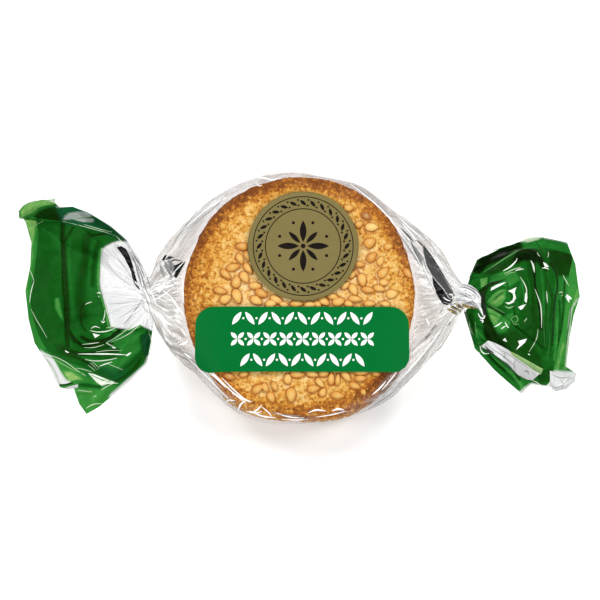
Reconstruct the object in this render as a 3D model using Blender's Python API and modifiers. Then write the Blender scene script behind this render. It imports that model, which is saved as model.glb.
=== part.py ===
"""Twist-wrapped sesame mantecado, lying on its back with the printed face up.

A round shortbread sits in one sheet of clear film. The film is twisted to a neck at each
side and opens into a pleated fan beyond it. The origin is on the table, under the middle
of the biscuit. +X runs along the package, +Y across it and +Z up through the shown face.
Lengths are in metres.
"""

import math
import random

import bmesh
import bpy
from mathutils import Vector

MM = 0.001

# The biscuit in its film
BODY_HEIGHT = 16.0 * MM
BODY_MIDDLE = 7.9 * MM
FLAT_TOP_REACH = 20.0 * MM
SIDE_POWER = 1.6
NECK_POWER = 2.0
DISC_POWER = 4.5
SECTION_POINTS = 52
SECTION_WARP = 0.6
STATIONS = 34

# Film outline seen from above: place along the package, far side, near side
FILM_OUTLINE = (
    (-39.4 * MM, 3.6 * MM, -5.2 * MM),
    (-37.6 * MM, 7.9 * MM, -9.0 * MM),
    (-34.2 * MM, 12.6 * MM, -14.8 * MM),
    (-30.6 * MM, 17.4 * MM, -18.4 * MM),
    (-25.0 * MM, 23.3 * MM, -22.9 * MM),
    (-17.5 * MM, 27.8 * MM, -30.3 * MM),
    (-9.5 * MM, 30.7 * MM, -33.5 * MM),
    (0.0, 31.4 * MM, -33.7 * MM),
    (9.0 * MM, 29.9 * MM, -32.7 * MM),
    (16.5 * MM, 27.5 * MM, -30.8 * MM),
    (24.0 * MM, 21.9 * MM, -26.9 * MM),
    (31.0 * MM, 16.3 * MM, -20.4 * MM),
    (37.0 * MM, 10.6 * MM, -13.2 * MM),
    (41.0 * MM, 4.6 * MM, -6.4 * MM),
    (43.6 * MM, 1.9 * MM, -2.9 * MM),
)

# Twisted necks, their knotted tips and the pleats that run from them over the shoulders
NECK_HEIGHT = 7.6 * MM
TIP_RADIUS = 2.4 * MM
TIP_LENGTH = 2.2 * MM
NECK_HALF_THICKNESS = 2.2 * MM
LEFT_NECK = (-39.4 * MM, -0.8 * MM)
RIGHT_NECK = (43.6 * MM, -0.5 * MM)
PLEAT_START = 26.0 * MM
PLEAT_DEPTH = 0.13
PLEAT_COUNT = 7
PLEAT_TWIST = 190.0

# Sesame seeds that lie under the film
SEED_COUNT = 84
SEED_LENGTH = 3.4 * MM
SEED_WIDTH = 2.2 * MM
SEED_HEIGHT = 1.1 * MM
SEED_SPACING = 2.6 * MM
SEED_LIFT = 0.15 * MM
SEED_CENTRE_Y = -1.0 * MM
SEED_REACH = 27.0 * MM
SEED_LEFT_X = -21.5 * MM
BARE_PATCH_Y = 13.5 * MM
THIN_PATCH_Y = -20.0 * MM
SEED_RANDOM = 11

# Printed labels on the shown face
LABEL_GAP = 0.3 * MM
LABEL_THICKNESS = 0.3 * MM
LABEL_MARGIN = 1.9 * MM
ROUND_LABEL_CENTRE = (0.6 * MM, 11.3 * MM)
ROUND_LABEL_RADIUS = 14.4 * MM
BAND_LABEL_CENTRE = (0.4 * MM, -13.2 * MM)
BAND_HALF_LENGTH = 27.8 * MM
BAND_HALF_WIDTH = 8.6 * MM
BAND_CORNER = 4.6 * MM

# Pleated film fans
FILM_THICKNESS = 0.5 * MM
FAN_START = 2.9 * MM
LEFT_WAIST = 5.9 * MM
RIGHT_WAIST = 3.5 * MM
WAIST_TURN = math.radians(75.0)
FAN_FLOOR = 0.5 * MM
FAN_STEPS = 18
LEFT_FAN_EDGE = (
    (-42.1 * MM, 8.8 * MM),
    (-45.5 * MM, 13.8 * MM),
    (-49.9 * MM, 17.7 * MM),
    (-55.7 * MM, 21.4 * MM),
    (-59.9 * MM, 23.0 * MM),
    (-63.8 * MM, 22.6 * MM),
    (-64.8 * MM, 24.5 * MM),
    (-67.7 * MM, 24.6 * MM),
    (-71.6 * MM, 23.4 * MM),
    (-73.7 * MM, 20.8 * MM),
    (-71.9 * MM, 18.2 * MM),
    (-70.3 * MM, 12.7 * MM),
    (-70.6 * MM, 6.7 * MM),
    (-71.9 * MM, 0.4 * MM),
    (-71.1 * MM, -6.9 * MM),
    (-69.6 * MM, -12.9 * MM),
    (-67.6 * MM, -16.0 * MM),
    (-65.6 * MM, -19.2 * MM),
    (-63.5 * MM, -23.7 * MM),
    (-59.3 * MM, -24.7 * MM),
    (-57.8 * MM, -28.9 * MM),
    (-55.9 * MM, -31.5 * MM),
    (-52.5 * MM, -29.7 * MM),
    (-44.7 * MM, -23.4 * MM),
    (-40.0 * MM, -18.7 * MM),
    (-39.4 * MM, -14.8 * MM),
    (-39.4 * MM, -10.4 * MM),
)
RIGHT_FAN_EDGE = (
    (44.4 * MM, 4.6 * MM),
    (46.5 * MM, 9.3 * MM),
    (52.3 * MM, 12.2 * MM),
    (57.5 * MM, 14.0 * MM),
    (63.3 * MM, 15.1 * MM),
    (70.1 * MM, 13.8 * MM),
    (72.4 * MM, 8.3 * MM),
    (73.5 * MM, -0.4 * MM),
    (71.7 * MM, -5.3 * MM),
    (70.3 * MM, -12.2 * MM),
    (69.5 * MM, -19.6 * MM),
    (72.2 * MM, -20.7 * MM),
    (71.7 * MM, -23.3 * MM),
    (68.0 * MM, -25.3 * MM),
    (62.8 * MM, -24.2 * MM),
    (60.1 * MM, -23.6 * MM),
    (58.0 * MM, -26.0 * MM),
    (51.0 * MM, -20.0 * MM),
    (45.6 * MM, -14.3 * MM),
    (43.9 * MM, -8.4 * MM),
)


def clear_scene():
    for obj in list(bpy.data.objects):
        bpy.data.objects.remove(obj, do_unlink=True)


def new_collection(name):
    collection = bpy.data.collections.new(name)
    bpy.context.scene.collection.children.link(collection)
    return collection


def principled(name, colour, roughness):
    material = bpy.data.materials.new(name)
    material.use_nodes = True
    shader = material.node_tree.nodes["Principled BSDF"]
    shader.inputs["Base Color"].default_value = (*colour, 1.0)
    shader.inputs["Roughness"].default_value = roughness
    shader.inputs["Metallic"].default_value = 0.0
    return material


def object_from(bm, name, collection, material):
    mesh = bpy.data.meshes.new(name)
    bm.to_mesh(mesh)
    bm.free()
    mesh.shade_smooth()
    obj = bpy.data.objects.new(name, mesh)
    mesh.materials.append(material)
    collection.objects.link(obj)
    return obj


def ease(value):
    """0 below 0, 1 above 1, and a smooth rise between."""
    value = min(max(value, 0.0), 1.0)
    return value * value * (3.0 - 2.0 * value)


def through(before, start, end, after, share):
    """A smooth curve through start and end, which the points on either side steer."""
    return 0.5 * (
        2.0 * start
        + (end - before) * share
        + (2.0 * before - 5.0 * start + 4.0 * end - after) * share**2
        + (3.0 * start - before - 3.0 * end + after) * share**3
    )


def film_side(x, column):
    """The film outline's far (1) or near (2) side at this place along the package."""
    last = len(FILM_OUTLINE) - 1
    index = 0
    while index < last - 1 and FILM_OUTLINE[index + 1][0] < x:
        index += 1
    start = FILM_OUTLINE[index]
    end = FILM_OUTLINE[index + 1]
    before = FILM_OUTLINE[max(index - 1, 0)]
    after = FILM_OUTLINE[min(index + 2, last)]
    share = min(max((x - start[0]) / (end[0] - start[0]), 0.0), 1.0)
    return through(before[column], start[column], end[column], after[column], share)


def neck_share(x):
    """0 over the flat part of the biscuit, 1 at the neck on that side."""
    neck = -LEFT_NECK[0] if x < 0.0 else RIGHT_NECK[0]
    return min(max((abs(x) - FLAT_TOP_REACH) / (neck - FLAT_TOP_REACH), 0.0), 1.0)


def section(x):
    """The cross-section there: its middle in Y and Z, half its size, and how square it is."""
    far = film_side(x, 1)
    near = film_side(x, 2)
    share = neck_share(x)
    body_half = BODY_HEIGHT - BODY_MIDDLE
    half_height = NECK_HALF_THICKNESS + (body_half - NECK_HALF_THICKNESS) * (1.0 - share**SIDE_POWER)
    power = NECK_POWER + (DISC_POWER - NECK_POWER) * (1.0 - ease(share * 1.4))
    middle = BODY_MIDDLE + (NECK_HEIGHT - BODY_MIDDLE) * share
    past_neck = max(LEFT_NECK[0] - x, x - RIGHT_NECK[0], 0.0) / TIP_RADIUS
    rounding = math.sqrt(1.0 - past_neck**2)
    half_width = (far - near) / 2.0 * rounding
    return (far + near) / 2.0, middle, half_width, half_height * rounding, power


def film_top(x, y):
    """Height of the film's upper face, without its pleats."""
    centre, middle, half_width, half_height, power = section(x)
    out = min(abs(y - centre) / half_width, 1.0)
    return middle + half_height * (1.0 - out**power) ** (1.0 / power)


def film_slope(x, y):
    """How steeply the upper face climbs along X and along Y."""
    step = 0.1 * MM
    along = film_top(x + step, y) - film_top(x - step, y)
    across = film_top(x, y + step) - film_top(x, y - step)
    return along / (2.0 * step), across / (2.0 * step)


def film_point(x, turn):
    """A point of the film at this place along the package and this turn round its section."""
    centre, middle, half_width, half_height, power = section(x)
    across = math.cos(turn) * SECTION_WARP
    up = math.sin(turn)
    size = (abs(across) ** power + abs(up) ** power) ** (-1.0 / power)
    neck = -LEFT_NECK[0] if x < 0.0 else RIGHT_NECK[0]
    pleated = ease((abs(x) - PLEAT_START) / (neck - PLEAT_START))
    size *= 1.0 + PLEAT_DEPTH * pleated * math.cos(PLEAT_COUNT * turn + PLEAT_TWIST * x)
    height = middle + half_height * size * up
    return x, centre + half_width * size * across, max(height, 0.0)


def wrapped_biscuit(collection, material):
    """A tube of film sections that runs from the knot past one neck to the knot past the other."""
    bm = bmesh.new()
    bmesh.ops.create_cone(
        bm, cap_ends=True, segments=SECTION_POINTS, radius1=1.0, radius2=1.0, depth=2.0
    )
    lengthways = [edge for edge in bm.edges if abs(edge.verts[0].co.z - edge.verts[1].co.z) > 1.0]
    bmesh.ops.subdivide_edges(bm, edges=lengthways, cuts=STATIONS - 1)
    middle = (LEFT_NECK[0] + RIGHT_NECK[0]) / 2.0
    half = (RIGHT_NECK[0] - LEFT_NECK[0]) / 2.0 + TIP_LENGTH
    for vert in bm.verts:
        along = vert.co.z
        spread = 0.5 * along + 0.5 * math.sin(math.pi / 2.0 * along)
        turn = math.atan2(vert.co.y, vert.co.x)
        vert.co = film_point(middle + half * spread, turn)
    return object_from(bm, "wrapped_biscuit", collection, material)


def in_round_label(x, y, margin):
    reach = ROUND_LABEL_RADIUS + margin
    return math.hypot(x - ROUND_LABEL_CENTRE[0], y - ROUND_LABEL_CENTRE[1]) < reach


def in_band_label(x, y, margin):
    beside = abs(x - BAND_LABEL_CENTRE[0]) < BAND_HALF_LENGTH + margin
    return beside and abs(y - BAND_LABEL_CENTRE[1]) < BAND_HALF_WIDTH + margin


def seed_places():
    """Random places clear of the labels: close together, but few to the upper left and below."""
    draw = random.Random(SEED_RANDOM)
    places = []
    for _ in range(6000):
        radius = SEED_REACH * math.sqrt(draw.random())
        turn = draw.uniform(0.0, math.tau)
        heading = draw.uniform(0.0, math.pi)
        size = draw.uniform(0.88, 1.1)
        x = radius * math.cos(turn)
        y = SEED_CENTRE_Y + radius * math.sin(turn)
        sparse = max(ease((y - x) / SEED_REACH - 0.45), 0.5 if y < THIN_PATCH_Y else 0.0)
        if draw.random() < sparse or x < SEED_LEFT_X or (x < 0.0 and y > BARE_PATCH_Y):
            continue
        if in_round_label(x, y, LABEL_MARGIN) or in_band_label(x, y, LABEL_MARGIN):
            continue
        if any(math.hypot(x - other[0], y - other[1]) < SEED_SPACING for other in places):
            continue
        places.append((x, y, heading, size))
        if len(places) == SEED_COUNT:
            break
    return places


def seed_shape(size):
    """A flat drop: a low sphere, narrowed towards one end."""
    bm = bmesh.new()
    bmesh.ops.create_uvsphere(bm, u_segments=7, v_segments=4, radius=1.0)
    for vert in bm.verts:
        x, y, z = vert.co
        narrow = 1.0 - 0.28 * x
        vert.co.x = x * SEED_LENGTH / 2.0 * size
        vert.co.y = y * SEED_WIDTH / 2.0 * size * narrow
        vert.co.z = z * SEED_HEIGHT / 2.0
    return bm


def add_seeds(body, material):
    """Fuse the seeds to the film's upper face with one Boolean union."""
    seeds = new_collection("loose seeds")
    for number, (x, y, heading, size) in enumerate(seed_places()):
        seed = object_from(seed_shape(size), f"seed_{number:03d}", seeds, material)
        slope_x, slope_y = film_slope(x, y)
        seed.rotation_euler = (math.atan(slope_y), -math.atan(slope_x), heading)
        seed.location = (x, y, film_top(x, y) + SEED_LIFT)
    union = body.modifiers.new("seeds", "BOOLEAN")
    union.operation = "UNION"
    union.operand_type = "COLLECTION"
    union.collection = seeds
    union.solver = "EXACT"
    bpy.context.view_layer.update()
    graph = bpy.context.evaluated_depsgraph_get()
    joined = bpy.data.meshes.new_from_object(body.evaluated_get(graph), depsgraph=graph)
    body.modifiers.clear()
    body.data = joined
    for seed in list(seeds.objects):
        bpy.data.objects.remove(seed, do_unlink=True)
    bpy.data.collections.remove(seeds)


def add_wall(obj, thickness, offset):
    wall = obj.modifiers.new("wall", "SOLIDIFY")
    wall.thickness = thickness
    wall.offset = offset
    wall.use_rim = True


def drape(bm):
    """Lay a flat outline on the film, one gap out from it, and split it into triangles."""
    for vert in bm.verts:
        x, y, _ = vert.co
        slope_x, slope_y = film_slope(x, y)
        out = Vector((-slope_x, -slope_y, 1.0)).normalized()
        vert.co = Vector((x, y, film_top(x, y))) + out * LABEL_GAP
    bmesh.ops.triangulate(bm, faces=bm.faces)


def round_label(collection, material):
    bm = bmesh.new()
    bmesh.ops.create_grid(bm, x_segments=12, y_segments=12, size=1.0)
    for vert in bm.verts:
        x, y, _ = vert.co
        vert.co.x = ROUND_LABEL_CENTRE[0] + ROUND_LABEL_RADIUS * x * math.sqrt(1.0 - y * y / 2.0)
        vert.co.y = ROUND_LABEL_CENTRE[1] + ROUND_LABEL_RADIUS * y * math.sqrt(1.0 - x * x / 2.0)
    drape(bm)
    add_wall(object_from(bm, "round_label", collection, material), LABEL_THICKNESS, 1.0)


def band_label(collection, material):
    """A rectangle whose rows shorten to round its corners, with its lines closer to its edges."""
    bm = bmesh.new()
    bmesh.ops.create_grid(bm, x_segments=24, y_segments=14, size=1.0)
    for vert in bm.verts:
        across = math.sin(math.pi / 2.0 * vert.co.y) * BAND_HALF_WIDTH
        past_corner = max(abs(across) - (BAND_HALF_WIDTH - BAND_CORNER), 0.0)
        half = BAND_HALF_LENGTH - BAND_CORNER
        half += math.sqrt(max(BAND_CORNER**2 - past_corner**2, 0.0))
        vert.co.x = BAND_LABEL_CENTRE[0] + math.sin(math.pi / 2.0 * vert.co.x) * half
        vert.co.y = BAND_LABEL_CENTRE[1] + across
    drape(bm)
    add_wall(object_from(bm, "band_label", collection, material), LABEL_THICKNESS, 1.0)


def edge_point(edge, place):
    """The fan's outer edge, with place running from 0 to 1 along its points."""
    last = len(edge) - 1
    scaled = place * last
    index = min(int(scaled), last - 1)
    share = scaled - index
    start = edge[index]
    end = edge[index + 1]
    return tuple(a + (b - a) * share for a, b in zip(start, end))


def left_fan_height(out, place):
    """Height over the neck: ring folds, pleats, a corner that curls up and a tip that hangs."""
    rings = 1.0 * math.sin(math.tau * (2.1 * out + 0.15)) * ease(out * 3.0)
    pleats = 1.5 * math.sin(math.tau * (4.5 * place + 0.1)) * ease(out * 1.6)
    curl = 5.6 * ease(1.0 - abs(place - 0.34) / 0.16) * ease((out - 0.62) / 0.38)
    hang = -2.6 * ease(1.0 - abs(place - 0.72) / 0.3) * out
    return (0.6 * out + rings + pleats + curl + hang) * MM


def right_fan_height(out, place):
    """Height over the neck: a crumpled dome, with its lower corner turned up."""
    dome = 3.4 * math.sin(math.pi * min(out * 1.1, 1.0)) * math.sin(math.pi * place)
    rings = 0.9 * math.sin(math.tau * (2.4 * out + 0.6)) * ease(out * 3.0)
    pleats = 1.3 * math.sin(math.tau * (4.0 * place + 0.35)) * ease(out * 1.5)
    corner = 3.0 * ease(1.0 - abs(place - 0.66) / 0.12) * ease((out - 0.6) / 0.4)
    return (-1.2 * out + dome + rings + pleats + corner) * MM


def waist_point(neck, waist, place):
    """Where the sheet starts: on half an oval round the neck, on the side away from the biscuit."""
    turn = WAIST_TURN * (1.0 - 2.0 * place)
    side = -1.0 if neck[0] < 0.0 else 1.0
    return neck[0] + side * FAN_START * math.cos(turn), neck[1] + waist * math.sin(turn)


def fan(name, neck, waist, edge, height, collection, material):
    """A thin pleated sheet that spreads from the neck's waist to its outer edge."""
    bm = bmesh.new()
    bmesh.ops.create_grid(bm, x_segments=FAN_STEPS, y_segments=len(edge) - 1, size=1.0)
    for vert in bm.verts:
        out = (vert.co.x + 1.0) / 2.0
        place = (vert.co.y + 1.0) / 2.0
        start = waist_point(neck, waist, place)
        tip = edge_point(edge, place)
        x = start[0] + (tip[0] - start[0]) * out
        y = start[1] + (tip[1] - start[1]) * out
        vert.co = (x, y, max(NECK_HEIGHT + height(out, place), FAN_FLOOR))
    bmesh.ops.triangulate(bm, faces=bm.faces)
    add_wall(object_from(bm, name, collection, material), FILM_THICKNESS, 0.0)


def main():
    clear_scene()
    package = new_collection("twist-wrapped mantecado")
    crust = principled("golden biscuit under clear film", (0.72, 0.44, 0.17), 0.45)
    gold = principled("matt gold print", (0.24, 0.19, 0.07), 0.45)
    green = principled("green print", (0.0, 0.20, 0.04), 0.35)
    green_film = principled("green film", (0.02, 0.25, 0.03), 0.25)

    body = wrapped_biscuit(package, crust)
    add_seeds(body, crust)
    round_label(package, gold)
    band_label(package, green)
    left = (LEFT_NECK, LEFT_WAIST, LEFT_FAN_EDGE, left_fan_height)
    right = (RIGHT_NECK, RIGHT_WAIST, RIGHT_FAN_EDGE, right_fan_height)
    fan("fan_left", *left, package, green_film)
    fan("fan_right", *right, package, green_film)


main()
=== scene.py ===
"""Looks of a twist-wrapped sesame mantecado: a baked biscuit under clear film, with green fans.

Every length is in metres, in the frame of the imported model: +X along the package, +Y across
it, +Z up out of the shown face, the origin on the table under the middle of the biscuit.
Places on the film's folds are pixels (column, row) of the photograph, laid on the film below.
"""

import math
import random

import bmesh
import bpy
import numpy
from mathutils import Matrix, Vector, noise
from mathutils.bvhtree import BVHTree


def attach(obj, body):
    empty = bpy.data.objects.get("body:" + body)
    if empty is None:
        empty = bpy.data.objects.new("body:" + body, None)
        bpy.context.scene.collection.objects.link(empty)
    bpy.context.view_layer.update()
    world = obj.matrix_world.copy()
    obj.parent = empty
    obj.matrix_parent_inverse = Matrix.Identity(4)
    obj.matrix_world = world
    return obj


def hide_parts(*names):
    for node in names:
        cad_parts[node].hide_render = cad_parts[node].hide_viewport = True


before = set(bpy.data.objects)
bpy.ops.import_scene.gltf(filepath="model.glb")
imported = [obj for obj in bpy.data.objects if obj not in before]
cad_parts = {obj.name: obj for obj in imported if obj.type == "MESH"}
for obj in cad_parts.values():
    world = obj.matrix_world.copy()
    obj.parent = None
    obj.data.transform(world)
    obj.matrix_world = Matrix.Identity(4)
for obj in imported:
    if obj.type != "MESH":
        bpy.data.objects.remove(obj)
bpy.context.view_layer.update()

MM = 0.001
TINY = 1e-9


def in_mm(rows):
    """Rows of millimetres as rows of metres."""
    return tuple(tuple(value * MM for value in row) for row in rows)


# The photograph's view: lens, lean from the vertical, and the pixel that shows one known point
LENS_MM = 200.0
SENSOR_MM = 36.0
FRAME_PIXELS = 600.0
PIXEL = 0.262 * MM
VIEW_LEAN = Vector((-0.01, -0.135, 1.0))
KNOWN_PIXEL = (300.5, 293.6)
KNOWN_POINT = Vector((0.0, 0.0, 8.0 * MM))

# Studio: a ring of soft suns, stronger on the far side, over a white table. LIGHT_LEVEL is the
# brightness of a level white surface there.
SUN_COUNT = 7
SUN_LEAN = 1.1
SUN_SPREAD = 20.0
SUN_STRENGTH = 0.9
SUN_SWING = 0.3
ROOM_LIGHT = 0.08
FLOOR_HALF = 1.6
LIGHT_LEVEL = 1.35

# The biscuit in its film, as in the solids
BODY_HEIGHT = 16.0 * MM
BODY_MIDDLE = 7.9 * MM
FLAT_TOP_REACH = 20.0 * MM
SIDE_POWER = 1.6
NECK_POWER = 2.0
DISC_POWER = 4.5
SECTION_WARP = 0.6
NECK_HEIGHT = 7.6 * MM
NECK_HALF_THICKNESS = 2.2 * MM
TIP_RADIUS = 2.4 * MM
TIP_LENGTH = 2.2 * MM
LEFT_NECK = (-39.4 * MM, -0.8 * MM)
RIGHT_NECK = (43.6 * MM, -0.5 * MM)
PLEAT_START = 26.0 * MM
PLEAT_DEPTH = 0.13
PLEAT_COUNT = 7
PLEAT_TWIST = 190.0

# Sides of the film seen from above: a place along X, the far side and the near side there
FILM_OUTLINE = in_mm((
    (-39.4, 3.6, -5.2), (-37.6, 7.9, -9), (-34.2, 12.6, -14.8), (-30.6, 17.4, -18.4), (-25, 23.3, -22.9),
    (-17.5, 27.8, -30.3), (-9.5, 30.7, -33.5), (0, 31.4, -33.7), (9, 29.9, -32.7), (16.5, 27.5, -30.8),
    (24, 21.9, -26.9), (31, 16.3, -20.4), (37, 10.6, -13.2), (41, 4.6, -6.4), (43.6, 1.9, -2.9),
))

# The film is taut over the biscuit and slack beyond it
FILM_LIFT = 0.6 * MM
SLACK_FROM = 28.2 * MM
SLACK_WIDTH = 3.5 * MM
CLOUD_FROM = 30.6 * MM
CLOUD_WIDTH = 2.4 * MM
TAUT_REACH = 29.2 * MM
TAUT_WIDTH = 2.5 * MM
SLACK_LIFT = 0.25 * MM
FILM_FLOOR = 0.02 * MM

# Creases of the film at its necks and where it is slack, as shares of its section, and its mesh
NECK_CREASES = 0.09
NECK_FINE_CREASES = 0.05
SLACK_CREASES = 0.016
SLACK_LUMPS = 0.011
SHELL_POINTS = 300
SHELL_STATIONS = 260

# Sesame seeds: how they narrow to one end and flatten, how far they lean and rise at random, and
# the marks that they leave in the crust. A mark's line and its pressed crumb are told by distance
# from the seed, 1 at its edge. The line is a brown ring, partly toasting and partly painted
# shadow, shifted to each seed's near left side by SEED_MARK_SHIFT.
SEED_HEIGHT = 1.15 * MM
SEED_TAPER = 0.26
SEED_ROUNDING = 0.06
SEED_FLATNESS = 0.85
SEED_RANDOM = 11
SEED_LEAN = 0.07
SEED_RISE = (0.02 * MM, 0.12 * MM)
SEED_MARKS_FROM = 13.0 * MM
SEED_MARK_SHIFT = 0.12 * MM
SEED_MARK_REACH = 3.0 * MM
SEED_LINE = 1.06
SEED_LINE_WIDTH = 0.24
PRESSED_REACH = 1.35

# Each seed: middle (column, row), heading in degrees, length and width in pixels of the
# photograph, and how pale each one is, 0 to 1. The broad end is at the heading's tail.
SEEDS = (
    (242, 246.6, 178, 13, 8.4, 0.1), (240, 258.8, -65, 12.2, 7.4, 0.6), (247.4, 256, -70, 11, 6.6, 0.3),
    (233.2, 267.4, 15, 14.4, 8.2, 0.35), (225.7, 274.5, -42, 13.4, 7.2, 0.4),
    (236.4, 282, 80, 12.8, 9.4, 0.65), (244.6, 277.4, -60, 12.8, 9, 0.7), (248.2, 268.4, -52, 13, 7.8, 0.5),
    (255.4, 285.9, -3, 13.2, 7.8, 0.65), (261.4, 293.4, -25, 13.8, 8.4, 0.15),
    (256.4, 300.6, -30, 13.2, 9, 0.7), (237.1, 296.3, -72, 15.6, 9.8, 0.7),
    (220.4, 290.9, -15, 13.8, 7.2, 0.35), (225.7, 299.1, 25, 12.6, 9.2, 0.8),
    (276.5, 299.6, -30, 14.2, 8.2, 0.7), (270.8, 304.2, 10, 11.4, 9, 0.85), (283.6, 305, 160, 10, 7, 0.8),
    (296.9, 303.8, 5, 14, 8.4, 0.4), (310, 304.8, 0, 12.4, 8.2, 0.9), (317.7, 304.8, -50, 10, 7, 0.5),
    (324.2, 301.5, -38, 12.8, 8.2, 0.65), (338.5, 301.9, 15, 13, 9.8, 0.65),
    (332.7, 296.5, -20, 12.2, 7, 0.65), (348.8, 304.2, -20, 9.6, 7.4, 0.6),
    (353.4, 289.8, -65, 13.2, 8.6, 0.7), (355.2, 299, -8, 14.2, 6.8, 0.6),
    (345.4, 285.4, 35, 10.6, 7.2, 0.75), (352.3, 274.6, 45, 9.6, 6.4, 0.55),
    (348.6, 208.2, 0, 10.6, 8.2, 0.4), (366.4, 216.4, -35, 11.4, 8.2, -0.5),
    (359.1, 224.5, 20, 9.6, 7.4, 0.35), (371.8, 227.3, 0, 14, 9.2, 1), (370, 242.7, 32, 13.2, 10.4, 0.35),
    (371.8, 257.3, 50, 12.8, 8.8, 0.1), (380.5, 260.9, 65, 11.4, 7.4, 0.65),
    (388.2, 246.8, 10, 9.8, 7.2, 0.4), (383.2, 272.7, 45, 13.8, 8.8, 0.5),
    (359.5, 264.5, -10, 11.4, 6.4, 0.3), (362.3, 280, -80, 13.8, 9.2, 0.65),
    (356.4, 272.6, -60, 9.2, 6.2, -0.3), (368.2, 290, -8, 13.4, 7.2, 0.25),
    (379.5, 288.6, -15, 12.4, 7.2, 0.65), (391.8, 294.1, 10, 12.4, 9.8, 0.95),
    (369.5, 304, 0, 12.4, 8.2, 0.5), (385, 304.6, 170, 11, 7.4, 0.7), (407.7, 273.6, -50, 12.4, 7.4, 0.2),
    (384, 282.7, -10, 9.6, 7.4, 0.8), (229.7, 376.2, -25, 12.4, 7.4, -0.1),
    (257.8, 388.8, 35, 12.6, 8.4, 0.4), (265.4, 387.6, -60, 10.4, 7, 0.5),
    (274.7, 386.5, -65, 10.6, 6.6, 0.4), (271.2, 397.3, -60, 11, 8, 0.55),
    (287.8, 378.8, 92, 11.4, 8.4, 0.75), (291.2, 395, -88, 14.8, 10.2, 0.6),
    (297.6, 374, -3, 15.4, 8.4, 0.45), (312.3, 373.8, -15, 13.2, 7.4, 0.7),
    (323.8, 373.5, 5, 10.6, 7.2, 0.5), (331.2, 378.8, 88, 12.8, 7, 0.5), (337.8, 379.6, 87, 12.8, 5.6, 0.5),
    (346.2, 376.2, -52, 13.4, 7.4, 0.7), (360.8, 378.5, 5, 12.2, 6.8, 0.35),
    (361.5, 372.4, -2, 14.2, 6, 0.75), (320, 383, -48, 12, 6.4, 0.8), (313.5, 388.8, 8, 12.8, 7.8, 0.35),
    (337.7, 395.4, -8, 13.8, 7.8, 0.4), (355, 385.8, -20, 12.2, 6.8, 0.3), (363.5, 392.3, -60, 7, 5.4, 0.5),
    (323, 392.3, 60, 9.6, 7.4, 0.6), (244, 374, 10, 10, 7, 0.3), (376, 373.6, -10, 9, 6, 0.1),
)

# Printed labels
LABEL_LIFT = 0.68 * MM
LABEL_THICKNESS = 0.06 * MM
PRINT_GAP = 0.02 * MM
PRINT_THICKNESS = 0.03 * MM
ROUND_LABEL_CENTRE = (0.6 * MM, 11.3 * MM)
ROUND_LABEL_RADIUS = 14.4 * MM
BAND_LABEL_CENTRE = (0.4 * MM, -13.05 * MM)
BAND_HALF_LENGTH = 27.5 * MM
BAND_HALF_WIDTH = 8.45 * MM
BAND_CORNER = 4.6 * MM

# Ornament of the disc: two circles with petals and dots between them, round a flower of long and
# short petals. Petals are a length and a width in millimetres, dots a width. A petal of the flower
# has its distance from the middle first.
RING_RADII = (13.1 * MM, 9.9 * MM)
RING_LINE = 0.22 * MM
RING_PETALS = 28
RING_PETAL = (2.1, 0.85)
RING_PETAL_REACH = 11.4 * MM
RING_PETAL_LEAN = 0.9
RING_DOT = 0.5
RING_DOT_REACHES = (10.7 * MM, 12.2 * MM)
ROSETTE_PETALS = 8
ROSETTE_LONG = (3.9 * MM, 5.6, 1.7)
ROSETTE_SHORT = (3.2 * MM, 4.2, 1.2)
ROSETTE_HEART = 1.2
ROSETTE_DOT = 0.8
ROSETTE_DOT_REACH = 6.6 * MM

# Ornament of the band, sized in the same way: rows as (place across it, count, pitch), with
# flowers in the middle one, leaves that lean either way in the others, and dots between them
BAND_ROWS = ((5.4 * MM, 11, 3.4 * MM), (0.0, 9, 4.2 * MM), (-5.4 * MM, 10, 3.3 * MM))
FLOWER_PETALS = 4
FLOWER_PETAL = (2.3, 1.05)
FLOWER_REACH = 1.25 * MM
LEAF = (4.1, 1.35)
LEAF_LEAN = 0.62
BAND_DOT = 0.55

# The baked biscuit inside the film
BISCUIT_CENTRE_Y = -1.1 * MM
BISCUIT_RADIUS = 30.5 * MM
BISCUIT_STRETCH_Y = 1.022
BISCUIT_BASE = 0.4 * MM
BISCUIT_TOP_EDGE = 3.6 * MM
BISCUIT_BASE_EDGE = 2.5 * MM
BISCUIT_GAP = 0.3 * MM
PRESSED_FROM = 10.0 * MM
BISCUIT_FLOOR = 0.15 * MM

# The biscuit's mesh: steps round it, rings of its top and base, steps over its upper and lower
# edges, and cuts between them
BISCUIT_STEPS = 380
TOP_RINGS = 88
TOP_ARC = 16
SIDE_CUTS = 12
BASE_ARC = 14
BASE_RINGS = 8

# Film fans, as in the solids
FILM_THICKNESS = 0.05 * MM
FAN_START = 2.9 * MM
LEFT_WAIST = 5.9 * MM
RIGHT_WAIST = 3.5 * MM
WAIST_TURN = math.radians(75.0)
FAN_FLOOR = 0.5 * MM
LEFT_FAN_EDGE = in_mm((
    (-42.1, 8.8), (-45.5, 13.8), (-49.9, 17.7), (-55.7, 21.4), (-59.9, 23), (-63.8, 22.6), (-64.8, 23.8),
    (-67.7, 23.8), (-71.6, 22.7), (-73.7, 20.8), (-71.9, 18.2), (-70.3, 12.7), (-70.6, 6.7), (-71.9, 0.4),
    (-71.1, -6.9), (-69.6, -12.9), (-67.6, -16), (-65.6, -19.2), (-63.5, -23.7), (-59.3, -24.7),
    (-57.8, -28.9), (-55.9, -31.5), (-52.5, -29.7), (-44.7, -23.4), (-40, -18.7), (-39.4, -14.8),
    (-39.4, -10.4),
))
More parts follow.
